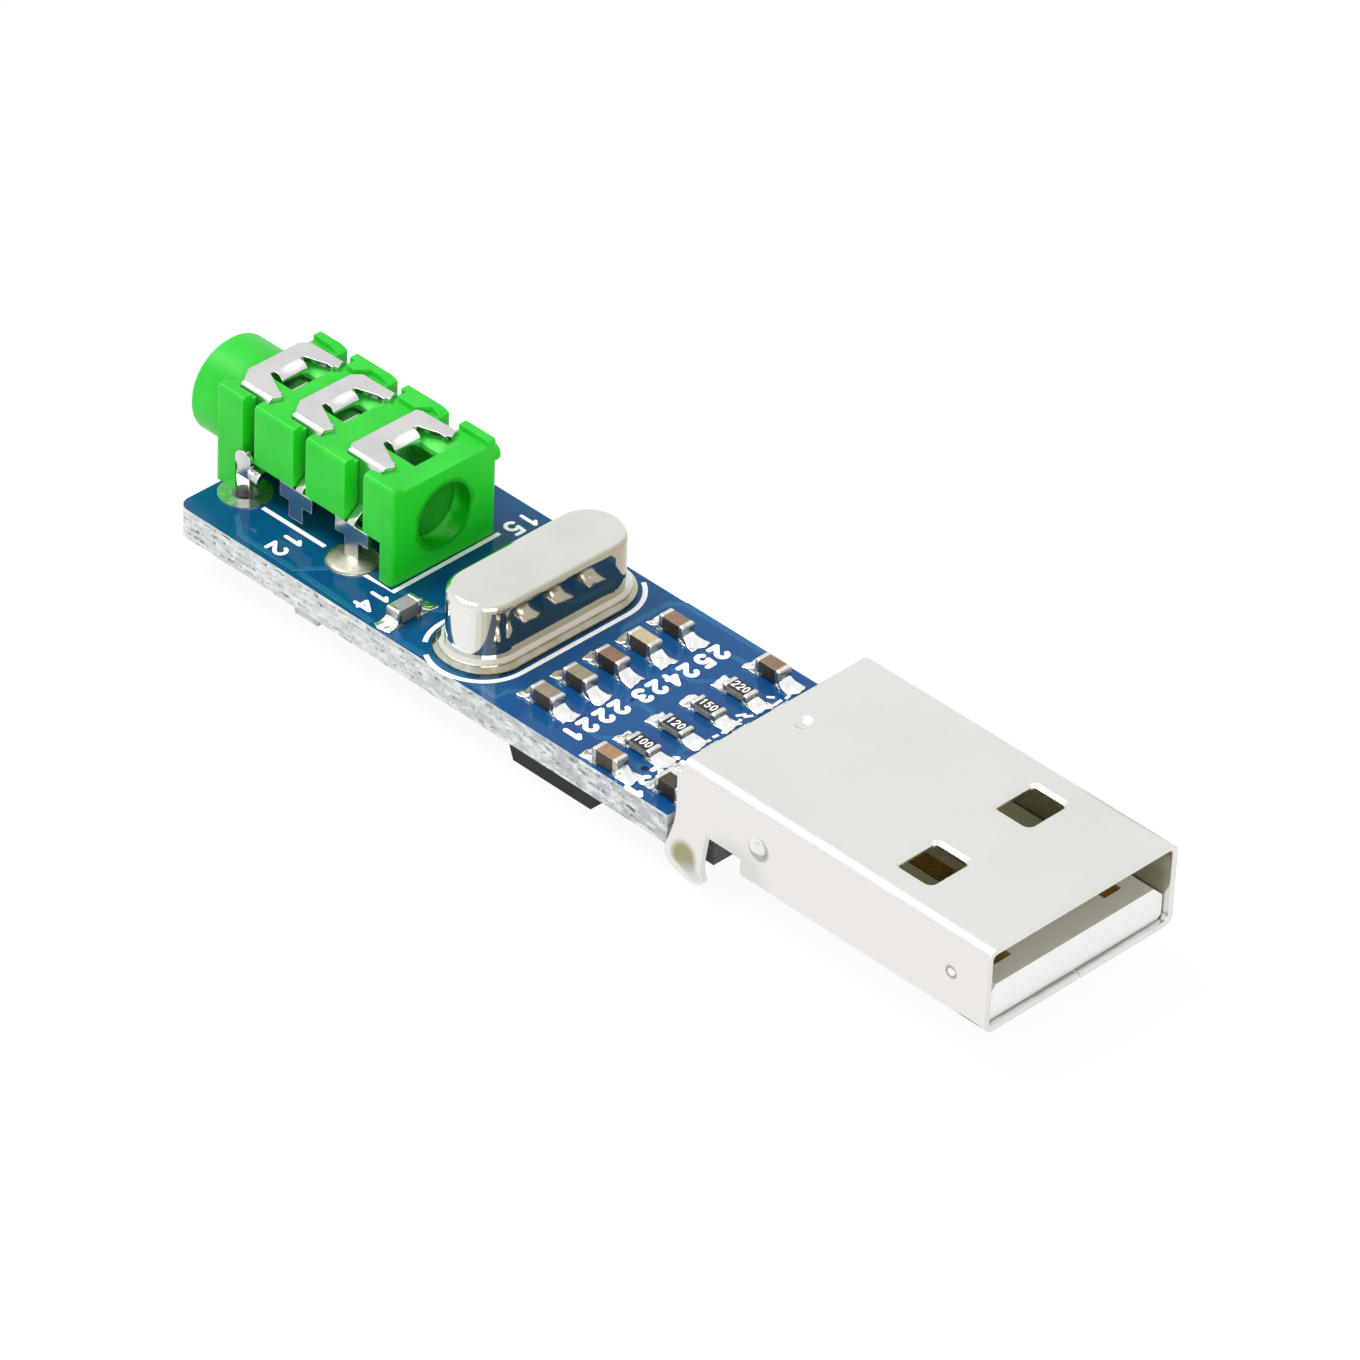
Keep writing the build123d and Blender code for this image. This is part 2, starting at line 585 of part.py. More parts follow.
def shell_sleeve():
    """The closed part of the folded shell, with a seam along the middle of its floor."""
    outer = RectangleRounded(PLUG_WIDTH, PLUG_HEIGHT, SHELL_BEND)
    inner = RectangleRounded(PLUG_WIDTH - 2 * SHELL_SHEET, PLUG_HEIGHT - 2 * SHELL_SHEET,
                             SHELL_BEND - SHELL_SHEET)
    ring = outer - inner
    plane = Plane.YZ.offset(SHELL_REAR)
    sleeve = extrude(plane * Pos(0, PLUG_FLOOR + PLUG_HEIGHT / 2) * ring, PLUG_LENGTH)
    rear_cut = place_box(SHELL_REAR - CUT, SHELL_REAR + NOTCH_LENGTH,
                         -PLUG_WIDTH, PLUG_WIDTH, PLUG_FLOOR - CUT, BOARD_TOP + NOTCH_LIFT)
    sleeve -= rear_cut
    seam = place_box(SHELL_REAR, MOUTH_X + CUT, -SEAM_GAP / 2, SEAM_GAP / 2,
                     PLUG_FLOOR - CUT, PLUG_FLOOR + SHELL_SHEET + CUT)
    return sleeve - seam


def shell_leg():
    """A side leg: its outline in the side plane, its section bulged outwards then turned in."""
    wall_line = PLUG_WIDTH / 2 - SHELL_SHEET / 2
    root = BOARD_TOP + LEG_ROOT
    tip = BOARD_BOTTOM - LEG_BELOW
    points = ((-wall_line, root), (-wall_line, BOARD_TOP + LEG_OUTWARD_START),
              (-wall_line - LEG_BULGE, BOARD_BOTTOM), (LEG_TIP_IN - wall_line, tip))
    rear = SHELL_REAR - LEG_BEHIND
    front = SHELL_REAR + LEG_AHEAD
    sheet = strip_along_x(points, LEG_BEND, SHELL_SHEET, rear, front)
    side_rear = SHELL_REAR - SIDE_REAR_STEP
    tip_z = tip + LEG_TIP_RADIUS
    shoulder = BOARD_TOP + LEG_SHOULDER
    outline = make_face([
        Line((side_rear, root), (side_rear, shoulder)),
        Spline((side_rear, shoulder), (rear, tip_z), tangents=((0, -1), (0, -1))),
        ThreePointArc((rear, tip_z), ((rear + front) / 2, tip), (front, tip_z)),
        Line((front, tip_z), (front, root)),
        Line((front, root), (side_rear, root)),
    ])
    return sheet & extrude(Plane.XZ * outline, PLUG_WIDTH)


def usb_shell():
    """The whole folded plug shell: sleeve, side legs, top windows and pressed dimples."""
    shell = shell_sleeve()
    leg = shell_leg()
    shell = shell + leg + mirror(leg, Plane.XZ)
    for side in (-1, 1):
        window = RectangleRounded(WINDOW_LENGTH, WINDOW_ACROSS, WINDOW_CORNER)
        x = MOUTH_X - WINDOW_BACK - WINDOW_LENGTH / 2
        shell -= extrude(Pos(x, side * WINDOW_PITCH / 2, PLUG_ROOF - CUT) * window, 2 * CUT)
        rim = RectangleRounded(WINDOW_LENGTH + 2 * WINDOW_BEVEL, WINDOW_ACROSS + 2 * WINDOW_BEVEL,
                               WINDOW_CORNER + WINDOW_BEVEL)
        shell -= extrude(Pos(x, side * WINDOW_PITCH / 2, PLUG_ROOF) * rim, -WINDOW_BEVEL, taper=RIM_TAPER)
    x = SHELL_REAR + SIDE_DIMPLE_FROM_REAR
    z = PLUG_FLOOR + SIDE_DIMPLE_HEIGHT
    for side in (-1, 1):
        turn = Rot(-side * ACROSS, 0, 0)
        shell -= Pos(x, side * PLUG_WIDTH / 2, z) * turn * dimple(SIDE_DIMPLE_RADIUS)
    shell -= Pos(SHELL_REAR + TOP_DIMPLE_FROM_REAR, 0, PLUG_ROOF) * dimple(TOP_DIMPLE_RADIUS)
    prick = Cone(PRICK_RADIUS, 0, PRICK_DEPTH)
    z = PLUG_FLOOR + PRICK_HEIGHT
    return shell - Pos(MOUTH_X - PRICK_BACK, (PRICK_DEPTH - PLUG_WIDTH) / 2, z) * Rot(-90, 0, 0) * prick


def dimple(rim_radius):
    """What a pressed dimple takes out of the face at z = 0: a shallow cone with a flat floor."""
    return Pos(0, 0, -DIMPLE_DEPTH / 2) * Cone(DIMPLE_FLOOR, rim_radius, DIMPLE_DEPTH)


def usb_insulator():
    """The white moulding: a tongue under the contacts and a block at the back of the plug."""
    half = PLUG_WIDTH / 2 - SHELL_SHEET - MOULDING_GAP
    floor = PLUG_FLOOR + SHELL_SHEET
    roof = PLUG_ROOF - SHELL_SHEET - MOULDING_GAP
    lower_end = SHELL_REAR + NOTCH_LENGTH + LOWER_BLOCK_INSET
    upper_end = SHELL_REAR + UPPER_BLOCK_INSET
    tongue = place_box(lower_end, MOUTH_X - TONGUE_SET_BACK,
                       -half, half, floor, TONGUE_TOP)
    long_edges = tongue.edges().filter_by(Axis.X)
    tongue = chamfer(long_edges.group_by(Axis.Z)[-1], TONGUE_CORNER)
    tongue = chamfer(tongue.edges().filter_by(Axis.X).group_by(Axis.Z)[0], MOULDING_CORNER)
    upper = place_box(upper_end, MOUTH_X - BACK_BLOCK_START,
                      -half, half, BOARD_TOP + NOTCH_LIFT, roof)
    upper = chamfer(upper.edges().filter_by(Axis.X).group_by(Axis.Z)[-1], TONGUE_CORNER)
    lower = place_box(lower_end, MOUTH_X - BACK_BLOCK_START,
                      -half, half, floor, roof - BACK_BLOCK_STEP)
    lower = chamfer(lower.edges().filter_by(Axis.X).group_by(Axis.Z)[0], MOULDING_CORNER)
    body = tongue + upper + lower
    gap = MOULDING_GAP
    for y in PIN_PLACES:
        start = PIN_START_OUTER if abs(y) > PIN_PITCH_INNER else PIN_START_INNER
        body -= place_box(upper_end - CUT, MOUTH_X - start + gap,
                          y - PIN_WIDTH / 2 - gap, y + PIN_WIDTH / 2 + gap,
                          TONGUE_TOP - PIN_SHEET, TONGUE_TOP + gap)
    return body


def usb_pin(index):
    """One plug contact: a strip on the tongue that steps down to its pad on the board."""
    y = PIN_PLACES[index]
    start = PIN_START_OUTER if abs(y) > PIN_PITCH_INNER else PIN_START_INNER
    level = TONGUE_TOP - PIN_SHEET / 2
    foot = BOARD_TOP + PAD_THICK + PIN_SHEET / 2
    points = ((MOUTH_X - start, level), (PIN_DROP_X, level), (PIN_DROP_X, foot), (PIN_FOOT_X, foot))
    bar = strip_along_y(points, PIN_BEND, PIN_SHEET, y - PIN_WIDTH / 2, y + PIN_WIDTH / 2)
    for side in (-1, 1):
        y0 = min(y + side * PIN_TAIL_WIDTH / 2, y + side * PIN_WIDTH)
        y1 = max(y + side * PIN_TAIL_WIDTH / 2, y + side * PIN_WIDTH)
        bar -= place_box(PIN_FOOT_X - CUT, SHELL_REAR + UPPER_BLOCK_INSET, y0, y1,
                         BOARD_TOP, TONGUE_TOP + CUT)
    return bar


def chip_body():
    """The moulded chip body, drafted from its parting line both ways, with a corner mark."""
    half_height = CHIP_THICK / 2
    outline = Rectangle(CHIP_WIDTH, CHIP_LENGTH)
    upper = extrude(Pos(0, 0, half_height) * outline, half_height, taper=CHIP_DRAFT)
    lower = extrude(Pos(0, 0, half_height) * outline, -half_height, taper=CHIP_DRAFT)
    body = upper + lower
    dot_place = Pos(CHIP_WIDTH / 2 - CHIP_DOT_INSET, CHIP_LENGTH / 2 - CHIP_DOT_INSET, 0)
    dot = dot_place * Cylinder(CHIP_DOT_RADIUS, 2 * CHIP_DOT_DEPTH)
    return Pos(CHIP_X, 0, 0) * (body - dot)


def chip_leads():
    """Twenty-eight bent leads from the parting line to the underside of the board."""
    middle = CHIP_THICK / 2
    foot_level = BOARD_BOTTOM - PAD_THICK - CHIP_PIN_SHEET / 2
    knee = CHIP_SPAN / 2 - CHIP_FOOT
    start = CHIP_WIDTH / 2
    points = ((start, middle), (knee - CHIP_LEAD_SLOPE / 2, middle),
              (knee + CHIP_LEAD_SLOPE / 2, foot_level),
              (CHIP_SPAN / 2, foot_level))
    section = trace(Polyline(*points), CHIP_PIN_SHEET)
    lead = extrude(Plane.XZ.offset(-CHIP_PIN_WIDTH / 2) * section, CHIP_PIN_WIDTH)
    row_start = -(CHIP_PINS_PER_SIDE - 1) * CHIP_PITCH / 2
    leads = []
    for i in range(CHIP_PINS_PER_SIDE):
        y = row_start + i * CHIP_PITCH
        right = Pos(CHIP_X, y, 0) * lead
        left = Pos(CHIP_X, y, 0) * Rot(0, 0, 180) * lead
        leads += [right, left]
    return leads


def part_location(place, under=False):
    """Where a small part stands: on its pads, on the top face or under the board."""
    x, y, turn = place
    if under:
        return Pos(x, y, BOARD_BOTTOM - PAD_THICK) * Rot(180, 0, turn)
    return Pos(x, y, BOARD_TOP + PAD_THICK) * Rot(0, 0, turn)


def part_body(length, width, height):
    """The middle of a small part, just inside the section of its ends."""
    half_core = length / 2 - END_LENGTH
    half_width = width / 2 - BODY_INSET
    return place_box(-half_core, half_core, -half_width, half_width, BODY_INSET, height - BODY_INSET)


def part_ends(length, width, height):
    """The two plated ends of a small part."""
    end = place_box(length / 2 - END_LENGTH, length / 2, -width / 2, width / 2, 0, height)
    outer = end.faces().sort_by(Axis.X)[-1].edges()
    end = chamfer(outer, END_EDGE)
    return [end, Rot(0, 0, 180) * end]


def part_pads(length):
    """The two pads under a small part."""
    inner = length / 2 + CHIP_PART_PAD_OUT - CHIP_PART_PAD_LENGTH
    half = CHIP_PART_PAD_WIDTH / 2
    pad = place_box(inner, inner + CHIP_PART_PAD_LENGTH, -half, half, -PAD_THICK, 0)
    return [pad, Rot(0, 0, 180) * pad]


def part_solder(length, width, height):
    """The hollow fillets of solder that climb a small part's ends."""
    foot = length / 2
    edge = foot + CHIP_PART_PAD_OUT - SOLDER_MARGIN
    rise = height * FILLET_RISE_SHARE
    middle = ((foot + edge) / 2 - FILLET_HOLLOW, (rise + FILLET_RIM) / 2 - FILLET_HOLLOW)
    face = Polygon((foot, 0), (edge, 0), (edge, FILLET_RIM), middle, (foot, rise), align=None)
    wedge = extrude(Plane.XZ.offset(-width / 2) * face, width)
    return [wedge, Rot(0, 0, 180) * wedge]


def ring_pad(x, y, radius, hole, z0, sides):
    """A many-sided pad with its hole."""
    ring = RegularPolygon(radius, sides) - RegularPolygon(hole, sides, major_radius=False)
    return extrude(Pos(x, y, z0) * ring, PAD_THICK)


def plug_pads():
    """The long pads under the feet of the plug's contacts."""
    x1 = PIN_DROP_X + PLUG_PAD_PAST_FOOT
    half = PLUG_PAD_WIDTH / 2
    return [place_box(x1 - PLUG_PAD_LENGTH, x1, y - half, y + half, BOARD_TOP, BOARD_TOP + PAD_THICK)
            for y in PIN_PLACES]


def pads_top():
    """All pads on the top face."""
    pads = plug_pads()
    for x, y in jack_leg_places():
        pads.append(ring_pad(x, y, JACK_PAD_RADIUS, JACK_HOLE_RADIUS, BOARD_TOP, UPPER_PAD_SIDES))
    for place in CAP_PLACES:
        pads += [part_location(place) * pad for pad in part_pads(CAP_LENGTH)]
    for place in RESISTOR_PLACES:
        pads += [part_location(place) * pad for pad in part_pads(RESISTOR_LENGTH)]
    return pads


def pads_bottom():
    """All pads on the underside."""
    z0 = BOARD_BOTTOM - PAD_THICK
    pads = [part_location(UNDER_PLACE, True) * pad for pad in part_pads(CAP_LENGTH)]
    for x, y in jack_leg_places():
        pads.append(ring_pad(x, y, JACK_PAD_RADIUS, JACK_HOLE_RADIUS, z0, LOWER_PAD_SIDES))
    for x, y in crystal_pin_places():
        pads.append(ring_pad(x, y, CRYSTAL_PAD_RADIUS, CRYSTAL_HOLE_RADIUS, z0, LOWER_PAD_SIDES))
    row_start = -(CHIP_PINS_PER_SIDE - 1) * CHIP_PITCH / 2
    pad_x = CHIP_SPAN / 2 - CHIP_FOOT / 2
    for i in range(CHIP_PINS_PER_SIDE):
        for side in (-1, 1):
            x = CHIP_X + side * pad_x
            y = row_start + i * CHIP_PITCH
            half_x = CHIP_FOOT
            half_y = CHIP_PIN_WIDTH / 2 + CHIP_PAD_MARGIN
            pads.append(place_box(x - half_x, x + half_x, y - half_y, y + half_y, z0, BOARD_BOTTOM))
    return pads


def solder_cone(x, y, pad_radius, tip_radius, z0):
    """An eight-sided cone of solder that hangs round a pin: two tapered blocks, one turned."""
    foot = (pad_radius - SOLDER_MARGIN) * math.cos(math.pi / LOWER_PAD_SIDES) ** 2
    inset = foot - tip_radius
    block = Wedge(2 * foot, JOINT_HEIGHT, 2 * foot, inset, inset, foot + tip_radius, foot + tip_radius)
    cone = block & Rot(0, 360 / LOWER_PAD_SIDES, 0) * block
    return Pos(x, y, z0 - JOINT_HEIGHT / 2) * Rot(-90, 0, 0) * cone


def solder_top(contact_rear):
    """Fillets at the small parts' ends, and the filled pad of the jack's rear leg."""
    pieces = []
    for place in CAP_PLACES:
        pieces += [part_location(place) * w for w in part_solder(CAP_LENGTH, CAP_WIDTH, CAP_HEIGHT)]
    for place in RESISTOR_PLACES:
        wedges = part_solder(RESISTOR_LENGTH, RESISTOR_WIDTH, RESISTOR_HEIGHT)
        pieces += [part_location(place) * w for w in wedges]
    pieces += (solder_dome() - contact_rear).solids()
    return pieces + plug_solder()


def plug_solder():
    """The run of solder at the end of each plug contact's foot."""
    x0 = PIN_DROP_X + PLUG_PAD_PAST_FOOT - PLUG_PAD_LENGTH + SOLDER_MARGIN
    level = BOARD_TOP + PAD_THICK
    face = Polygon((x0, level), (PIN_FOOT_X, level), (PIN_FOOT_X, level + PIN_SHEET),
                   (x0, level + FILLET_RIM), align=None)
    half = PLUG_PAD_WIDTH / 2 - SOLDER_MARGIN
    return [extrude(Plane.XZ.offset(-y - half) * face, 2 * half) for y in PIN_PLACES]


def solder_dome():
    """The low dome of solder that fills the pad of the jack's rear leg."""
    x, y = jack_leg_places()[1]
    radius = JACK_PAD_RADIUS - SOLDER_MARGIN
    face = make_face([
        Line((0, 0), (radius, 0)),
        TangentArc((0, DOME_HEIGHT), (radius, 0), tangent=(1, 0)),
        Line((0, DOME_HEIGHT), (0, 0)),
    ])
    return Pos(x, y, BOARD_TOP + PAD_THICK) * revolve(Plane.XZ * face, Axis.Z)


def solder_bottom(pins):
    """Cones of solder round every pin below the board, and fillets at the small part."""
    level = BOARD_BOTTOM - PAD_THICK
    pieces = []
    for x, y in jack_leg_places()[1:]:
        pieces.append(solder_cone(x, y, JACK_PAD_RADIUS, JACK_JOINT_TIP, level))
    for x, y in crystal_pin_places():
        pieces.append(solder_cone(x, y, CRYSTAL_PAD_RADIUS, CRYSTAL_JOINT_TIP, level))
    cut = []
    for piece in pieces:
        for pin in pins:
            piece = piece - pin
        cut += piece.solids()
    wedges = part_solder(CAP_LENGTH, CAP_WIDTH, UNDER_HEIGHT)
    cut += [part_location(UNDER_PLACE, True) * w for w in wedges]
    return cut


def write(name, shape):
    """Write one node's solids to its own file."""
    solids = shape if isinstance(shape, list) else shape.solids()
    flat = []
    for item in solids:
        flat += item.solids()
    body = flat[0] if len(flat) == 1 else Compound(children=flat)
    body.label = name
    export_step(body, f"parts/{name}.step")


def main():
    """Build every piece and write it."""
    os.makedirs("parts", exist_ok=True)
    contacts = [jack_contact(i) for i in range(len(CONTACT_FRONTS))]
    pins = [usb_pin(i) for i in range(len(PIN_PLACES))]
    leads = crystal_leads()
    write("pcb", board())
    write("jack_housing", jack_housing())
    for name, contact in zip(("front", "middle", "rear"), contacts):
        write(f"jack_contact_{name}", contact)
    write("crystal_can", crystal_can())
    write("crystal_base", crystal_base())
    write("crystal_leads", leads)
    write("usb_shell", usb_shell())
    write("usb_insulator", usb_insulator())
    for i, pin in enumerate(pins):
        write(f"usb_pin_{i + 1}", pin)
    write("chip_body", chip_body())
    write("chip_leads", chip_leads())
    for i, place in enumerate(CAP_PLACES):
        where = part_location(place)
        write(f"capacitor_{i + 1}_body", where * part_body(CAP_LENGTH, CAP_WIDTH, CAP_HEIGHT))
        write(f"capacitor_{i + 1}_ends", [where * e for e in part_ends(CAP_LENGTH, CAP_WIDTH, CAP_HEIGHT)])
    for i, place in enumerate(RESISTOR_PLACES):
        where = part_location(place)
        size = (RESISTOR_LENGTH, RESISTOR_WIDTH, RESISTOR_HEIGHT)
        write(f"resistor_{i + 1}_body", where * part_body(*size))
        write(f"resistor_{i + 1}_ends", [where * e for e in part_ends(*size)])
    where = part_location(UNDER_PLACE, True)
    write("under_part_body", where * part_body(CAP_LENGTH, CAP_WIDTH, UNDER_HEIGHT))
    write("under_part_ends", [where * e for e in part_ends(CAP_LENGTH, CAP_WIDTH, UNDER_HEIGHT)])
    write("pads_top", pads_top())
    write("pads_bottom", pads_bottom())
    write("solder_top", solder_top(contacts[2]))
    write("solder_bottom", solder_bottom(contacts + leads))


main()
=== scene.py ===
"""Looks of a bare USB sound board: finishes, print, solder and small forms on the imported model.

Lengths in the sizes below are in millimetres and are turned to metres when a mesh is made.
+X runs from the audio jack to the mouth of the plug, +Y across the board and +Z up.
"""
import logging
import math
from dataclasses import dataclass
from enum import Enum

import bmesh
import bpy
import numpy as np
from mathutils import Matrix, Vector


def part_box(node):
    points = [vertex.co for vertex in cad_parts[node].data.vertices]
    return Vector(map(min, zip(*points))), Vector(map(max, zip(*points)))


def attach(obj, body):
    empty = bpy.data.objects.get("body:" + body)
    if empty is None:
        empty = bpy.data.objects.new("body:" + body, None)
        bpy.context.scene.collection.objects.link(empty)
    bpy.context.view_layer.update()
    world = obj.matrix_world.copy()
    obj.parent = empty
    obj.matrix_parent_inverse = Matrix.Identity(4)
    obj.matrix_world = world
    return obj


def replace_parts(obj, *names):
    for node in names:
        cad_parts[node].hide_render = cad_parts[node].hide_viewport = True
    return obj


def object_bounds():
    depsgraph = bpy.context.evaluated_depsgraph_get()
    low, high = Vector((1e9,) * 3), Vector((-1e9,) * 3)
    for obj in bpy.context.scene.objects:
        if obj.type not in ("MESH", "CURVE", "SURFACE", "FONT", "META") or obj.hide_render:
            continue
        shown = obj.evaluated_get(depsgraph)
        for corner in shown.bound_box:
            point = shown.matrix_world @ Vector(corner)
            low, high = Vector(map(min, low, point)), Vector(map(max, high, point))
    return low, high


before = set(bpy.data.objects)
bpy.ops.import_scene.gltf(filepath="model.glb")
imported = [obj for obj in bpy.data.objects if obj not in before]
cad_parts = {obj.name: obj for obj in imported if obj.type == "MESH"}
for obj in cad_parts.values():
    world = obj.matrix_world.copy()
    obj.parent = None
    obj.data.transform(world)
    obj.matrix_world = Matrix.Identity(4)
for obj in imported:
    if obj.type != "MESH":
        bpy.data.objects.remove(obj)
cad_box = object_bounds()

log = logging.getLogger("sound_board")

MM = 0.001
BODY = "root"
BOARD_SLOT = "board_laminate"
PLUG_CONTACTS = range(1, 5)

Colour = tuple[float, float, float, float]
Tone = tuple[int, int, int]
Point = tuple[float, float, float]
Spot = tuple[float, float]
Run = tuple[Spot, ...]
Surface = tuple[np.ndarray, list[list[int]]]


def paint(tone: Tone) -> Colour:
    """Turns a screen tone into the linear colour that a shader takes.

    Args:
        tone: Red, green and blue from 0 to 255, as a screen shows them.

    Returns:
        Linear red, green, blue and an alpha of 1.
    """
    share = np.asarray(tone) / 255.0
    linear = np.where(share <= 0.04045, share / 12.92, ((share + 0.055) / 1.055) ** 2.4)
    return (*linear.tolist(), 1.0)


def corners_of(node: str) -> tuple[np.ndarray, np.ndarray]:
    """Gives the low and high corners of a node's box, in millimetres."""
    low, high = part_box(node)
    return np.array(low) / MM, np.array(high) / MM


def middle_of(node: str) -> np.ndarray:
    """Gives the middle of a node's box, in millimetres."""
    low, high = corners_of(node)
    return (low + high) / 2


def size_of(node: str) -> np.ndarray:
    """Gives the lengths of a node's box, in millimetres."""
    low, high = corners_of(node)
    return high - low


def long_axis(node: str) -> int:
    """Gives 0 for a node that lies along X, and 1 for one that lies along Y."""
    return int(np.argmax(size_of(node)[:2]))


@dataclass(frozen=True)
class Mark:
    """A soft patch of another tone on a finish, used here for painted shade, light and highlights: an
    ellipsoid of space with a frayed rim.
    """

    middle: Point
    reach: Point
    tone: Tone
    strength: float = 1.0
    soft: float = 0.25


@dataclass(frozen=True)
class PaintedSideLight:
    """A painted tone of light or shade for the faces that look along an axis, or against it."""

    letter: str
    sign: float
    tone: Tone
    start: float = 0.4
    end: float = 0.9


class Graph:
    """A material's nodes, written step by step in millimetres."""

    fray_scale: float = 1.5
    fray_depth: float = 0.2
    bevel_samples: int = 6

    def __init__(self, name: str) -> None:
        """Starts a material with one surface shader and coordinates in millimetres.

        Args:
            name: The material's name.
        """
        self.material = bpy.data.materials.new(name)
        self.material.use_nodes = True
        self.tree = self.material.node_tree
        self.shader = self.tree.nodes["Principled BSDF"]
        source = self.tree.nodes.new("ShaderNodeTexCoord")
        self.place = self.node("ShaderNodeMapping", {"Vector": source.outputs["Object"],
                                                     "Scale": (1 / MM,) * 3}).outputs[0]

    def node(self, kind: str, inputs: dict | None = None, **settings: object) -> bpy.types.Node:
        """Adds a node.

        Args:
            kind: Blender's name of the node type.
            inputs: A value or an output socket for each named input.
            settings: Properties of the node itself.

        Returns:
            The new node.
        """
        made = self.tree.nodes.new(kind)
        for key, value in settings.items():
            setattr(made, key, value)
        for key, value in (inputs or {}).items():
            self.feed(made.inputs[key], value)
        return made

    def feed(self, socket: bpy.types.NodeSocket, value: object) -> None:
        """Fills an input.

        Args:
            socket: The input.
            value: An output to link to it, or a plain value to set on it.
        """
        if isinstance(value, bpy.types.NodeSocket):
            self.tree.links.new(value, socket)
        else:
            socket.default_value = value

    def math(self, operation: str, first: object, second: object = 0.0) -> bpy.types.NodeSocket:
        """Joins two numbers by one operation."""
        return self.node("ShaderNodeMath", {0: first, 1: second}, operation=operation).outputs[0]

    def stretch(self, scale: Point) -> bpy.types.NodeSocket:
        """Gives the coordinates scaled by an amount along each axis."""
        return self.node("ShaderNodeMapping", {"Vector": self.place, "Scale": scale}).outputs[0]

    def noise(self, scale: float, detail: float = 3.0, roughness: float = 0.55,
              at: bpy.types.NodeSocket | None = None) -> bpy.types.NodeSocket:
        """Adds cloudy noise.

        Args:
            scale: Features per millimetre.
            detail: How many finer layers are added.
            roughness: How strong the finer layers are.
            at: Coordinates, or none for plain millimetres.

        Returns:
            The noise as a number about a half.
        """
        made = self.node("ShaderNodeTexNoise", {"Vector": at or self.place, "Scale": scale,
                                                "Detail": detail, "Roughness": roughness})
        return made.outputs[0]

    def axis(self, letter: str) -> bpy.types.NodeSocket:
        """Gives one coordinate, in millimetres."""
        return self.node("ShaderNodeSeparateXYZ", {0: self.place}).outputs[letter]

    def facing(self, letter: str) -> bpy.types.NodeSocket:
        """Gives one part of the true normal of the surface."""
        normal = self.node("ShaderNodeNewGeometry").outputs["True Normal"]
        return self.node("ShaderNodeSeparateXYZ", {0: normal}).outputs[letter]

    def spread(self, value: bpy.types.NodeSocket, low: float, high: float,
               start: float = 0.0, end: float = 1.0) -> bpy.types.NodeSocket:
        """Maps a range of numbers smoothly onto another range.

        Args:
            value: The number.
            low: Where the first range begins.
            high: Where it ends.
            start: What the result is at its beginning, and before it.
            end: What the result is at its end, and past it.

        Returns:
            The mapped number.
        """
        made = self.node("ShaderNodeMapRange", {"Value": value, "From Min": low, "From Max": high,
                                                "To Min": start, "To Max": end},
                         interpolation_type="SMOOTHSTEP")
        return made.outputs[0]

    def blend(self, share: object, first: object, second: object) -> bpy.types.NodeSocket:
        """Mixes two colours by a share."""
        made = self.node("ShaderNodeMix", {0: share, 6: first, 7: second}, data_type="RGBA")
        return made.outputs[2]

    def patch(self, mark: Mark) -> bpy.types.NodeSocket:
        """Gives how far a place lies inside a mark.

        The distance from the mark's middle is counted in shares of its reach, a noise frays it,
        and the patch runs out softly to both sides of its rim.

        Args:
            mark: The mark.

        Returns:
            A number from 0 outside to the mark's strength inside.
        """
        away = self.node("ShaderNodeVectorMath", {0: self.place, 1: mark.middle},
                         operation="SUBTRACT").outputs[0]
        share = self.node("ShaderNodeVectorMath", {0: away, 1: mark.reach}, operation="DIVIDE").outputs[0]
        length = self.node("ShaderNodeVectorMath", {0: share}, operation="LENGTH").outputs["Value"]
        fray = self.math("MULTIPLY", self.noise(self.fray_scale, detail=4.0), self.fray_depth)
        rim = 1.0 + self.fray_depth / 2
        return self.spread(self.math("ADD", length, fray), rim + mark.soft, rim - mark.soft, 0.0,
                           mark.strength)

    def marked(self, colour: object, sides: tuple[PaintedSideLight, ...] = (),
               marks: tuple[Mark, ...] = ()) -> object:
        """Lays the painted light or shade of each turned side, and then the tone of each mark, over a
        colour.

        Args:
            colour: The colour under them.
            sides: The turned sides.
            marks: The marks.

        Returns:
            The mixed colour.
        """
        for side in sides:
            toward = self.math("MULTIPLY", self.facing(side.letter), side.sign)
            colour = self.blend(self.spread(toward, side.start, side.end), colour, paint(side.tone))
        for mark in marks:
            colour = self.blend(self.patch(mark), colour, paint(mark.tone))
        return colour

    def round_edges(self, radius: float) -> bpy.types.NodeSocket:
        """Gives the normal as if every sharp edge were rounded by a radius in millimetres."""
        return self.node("ShaderNodeBevel", {"Radius": radius * MM}, samples=self.bevel_samples).outputs[0]

    def relief(self, height: bpy.types.NodeSocket, depth: float,
               under: bpy.types.NodeSocket | None = None) -> bpy.types.NodeSocket:
        """Tilts the normal by a height map.

        Args:
            height: The height, from 0 to 1.
            depth: What a height of 1 stands for, in millimetres.
            under: The normal that is tilted, or none for the surface's own.

        Returns:
            The tilted normal.
        """
        inputs = {"Height": height, "Distance": depth * MM, "Strength": 1.0}
        if under is not None:
            inputs["Normal"] = under
        return self.node("ShaderNodeBump", inputs).outputs[0]

    def surface(self, **inputs: object) -> bpy.types.Material:
        """Sets the shader's inputs, written with underscores for spaces.

        Args:
            inputs: A value or an output for each input, such as Base_Color or Roughness.

        Returns:
            The finished material.
        """
        for key, value in inputs.items():
            self.feed(self.shader.inputs[key.replace("_", " ")], value)
        return self.material


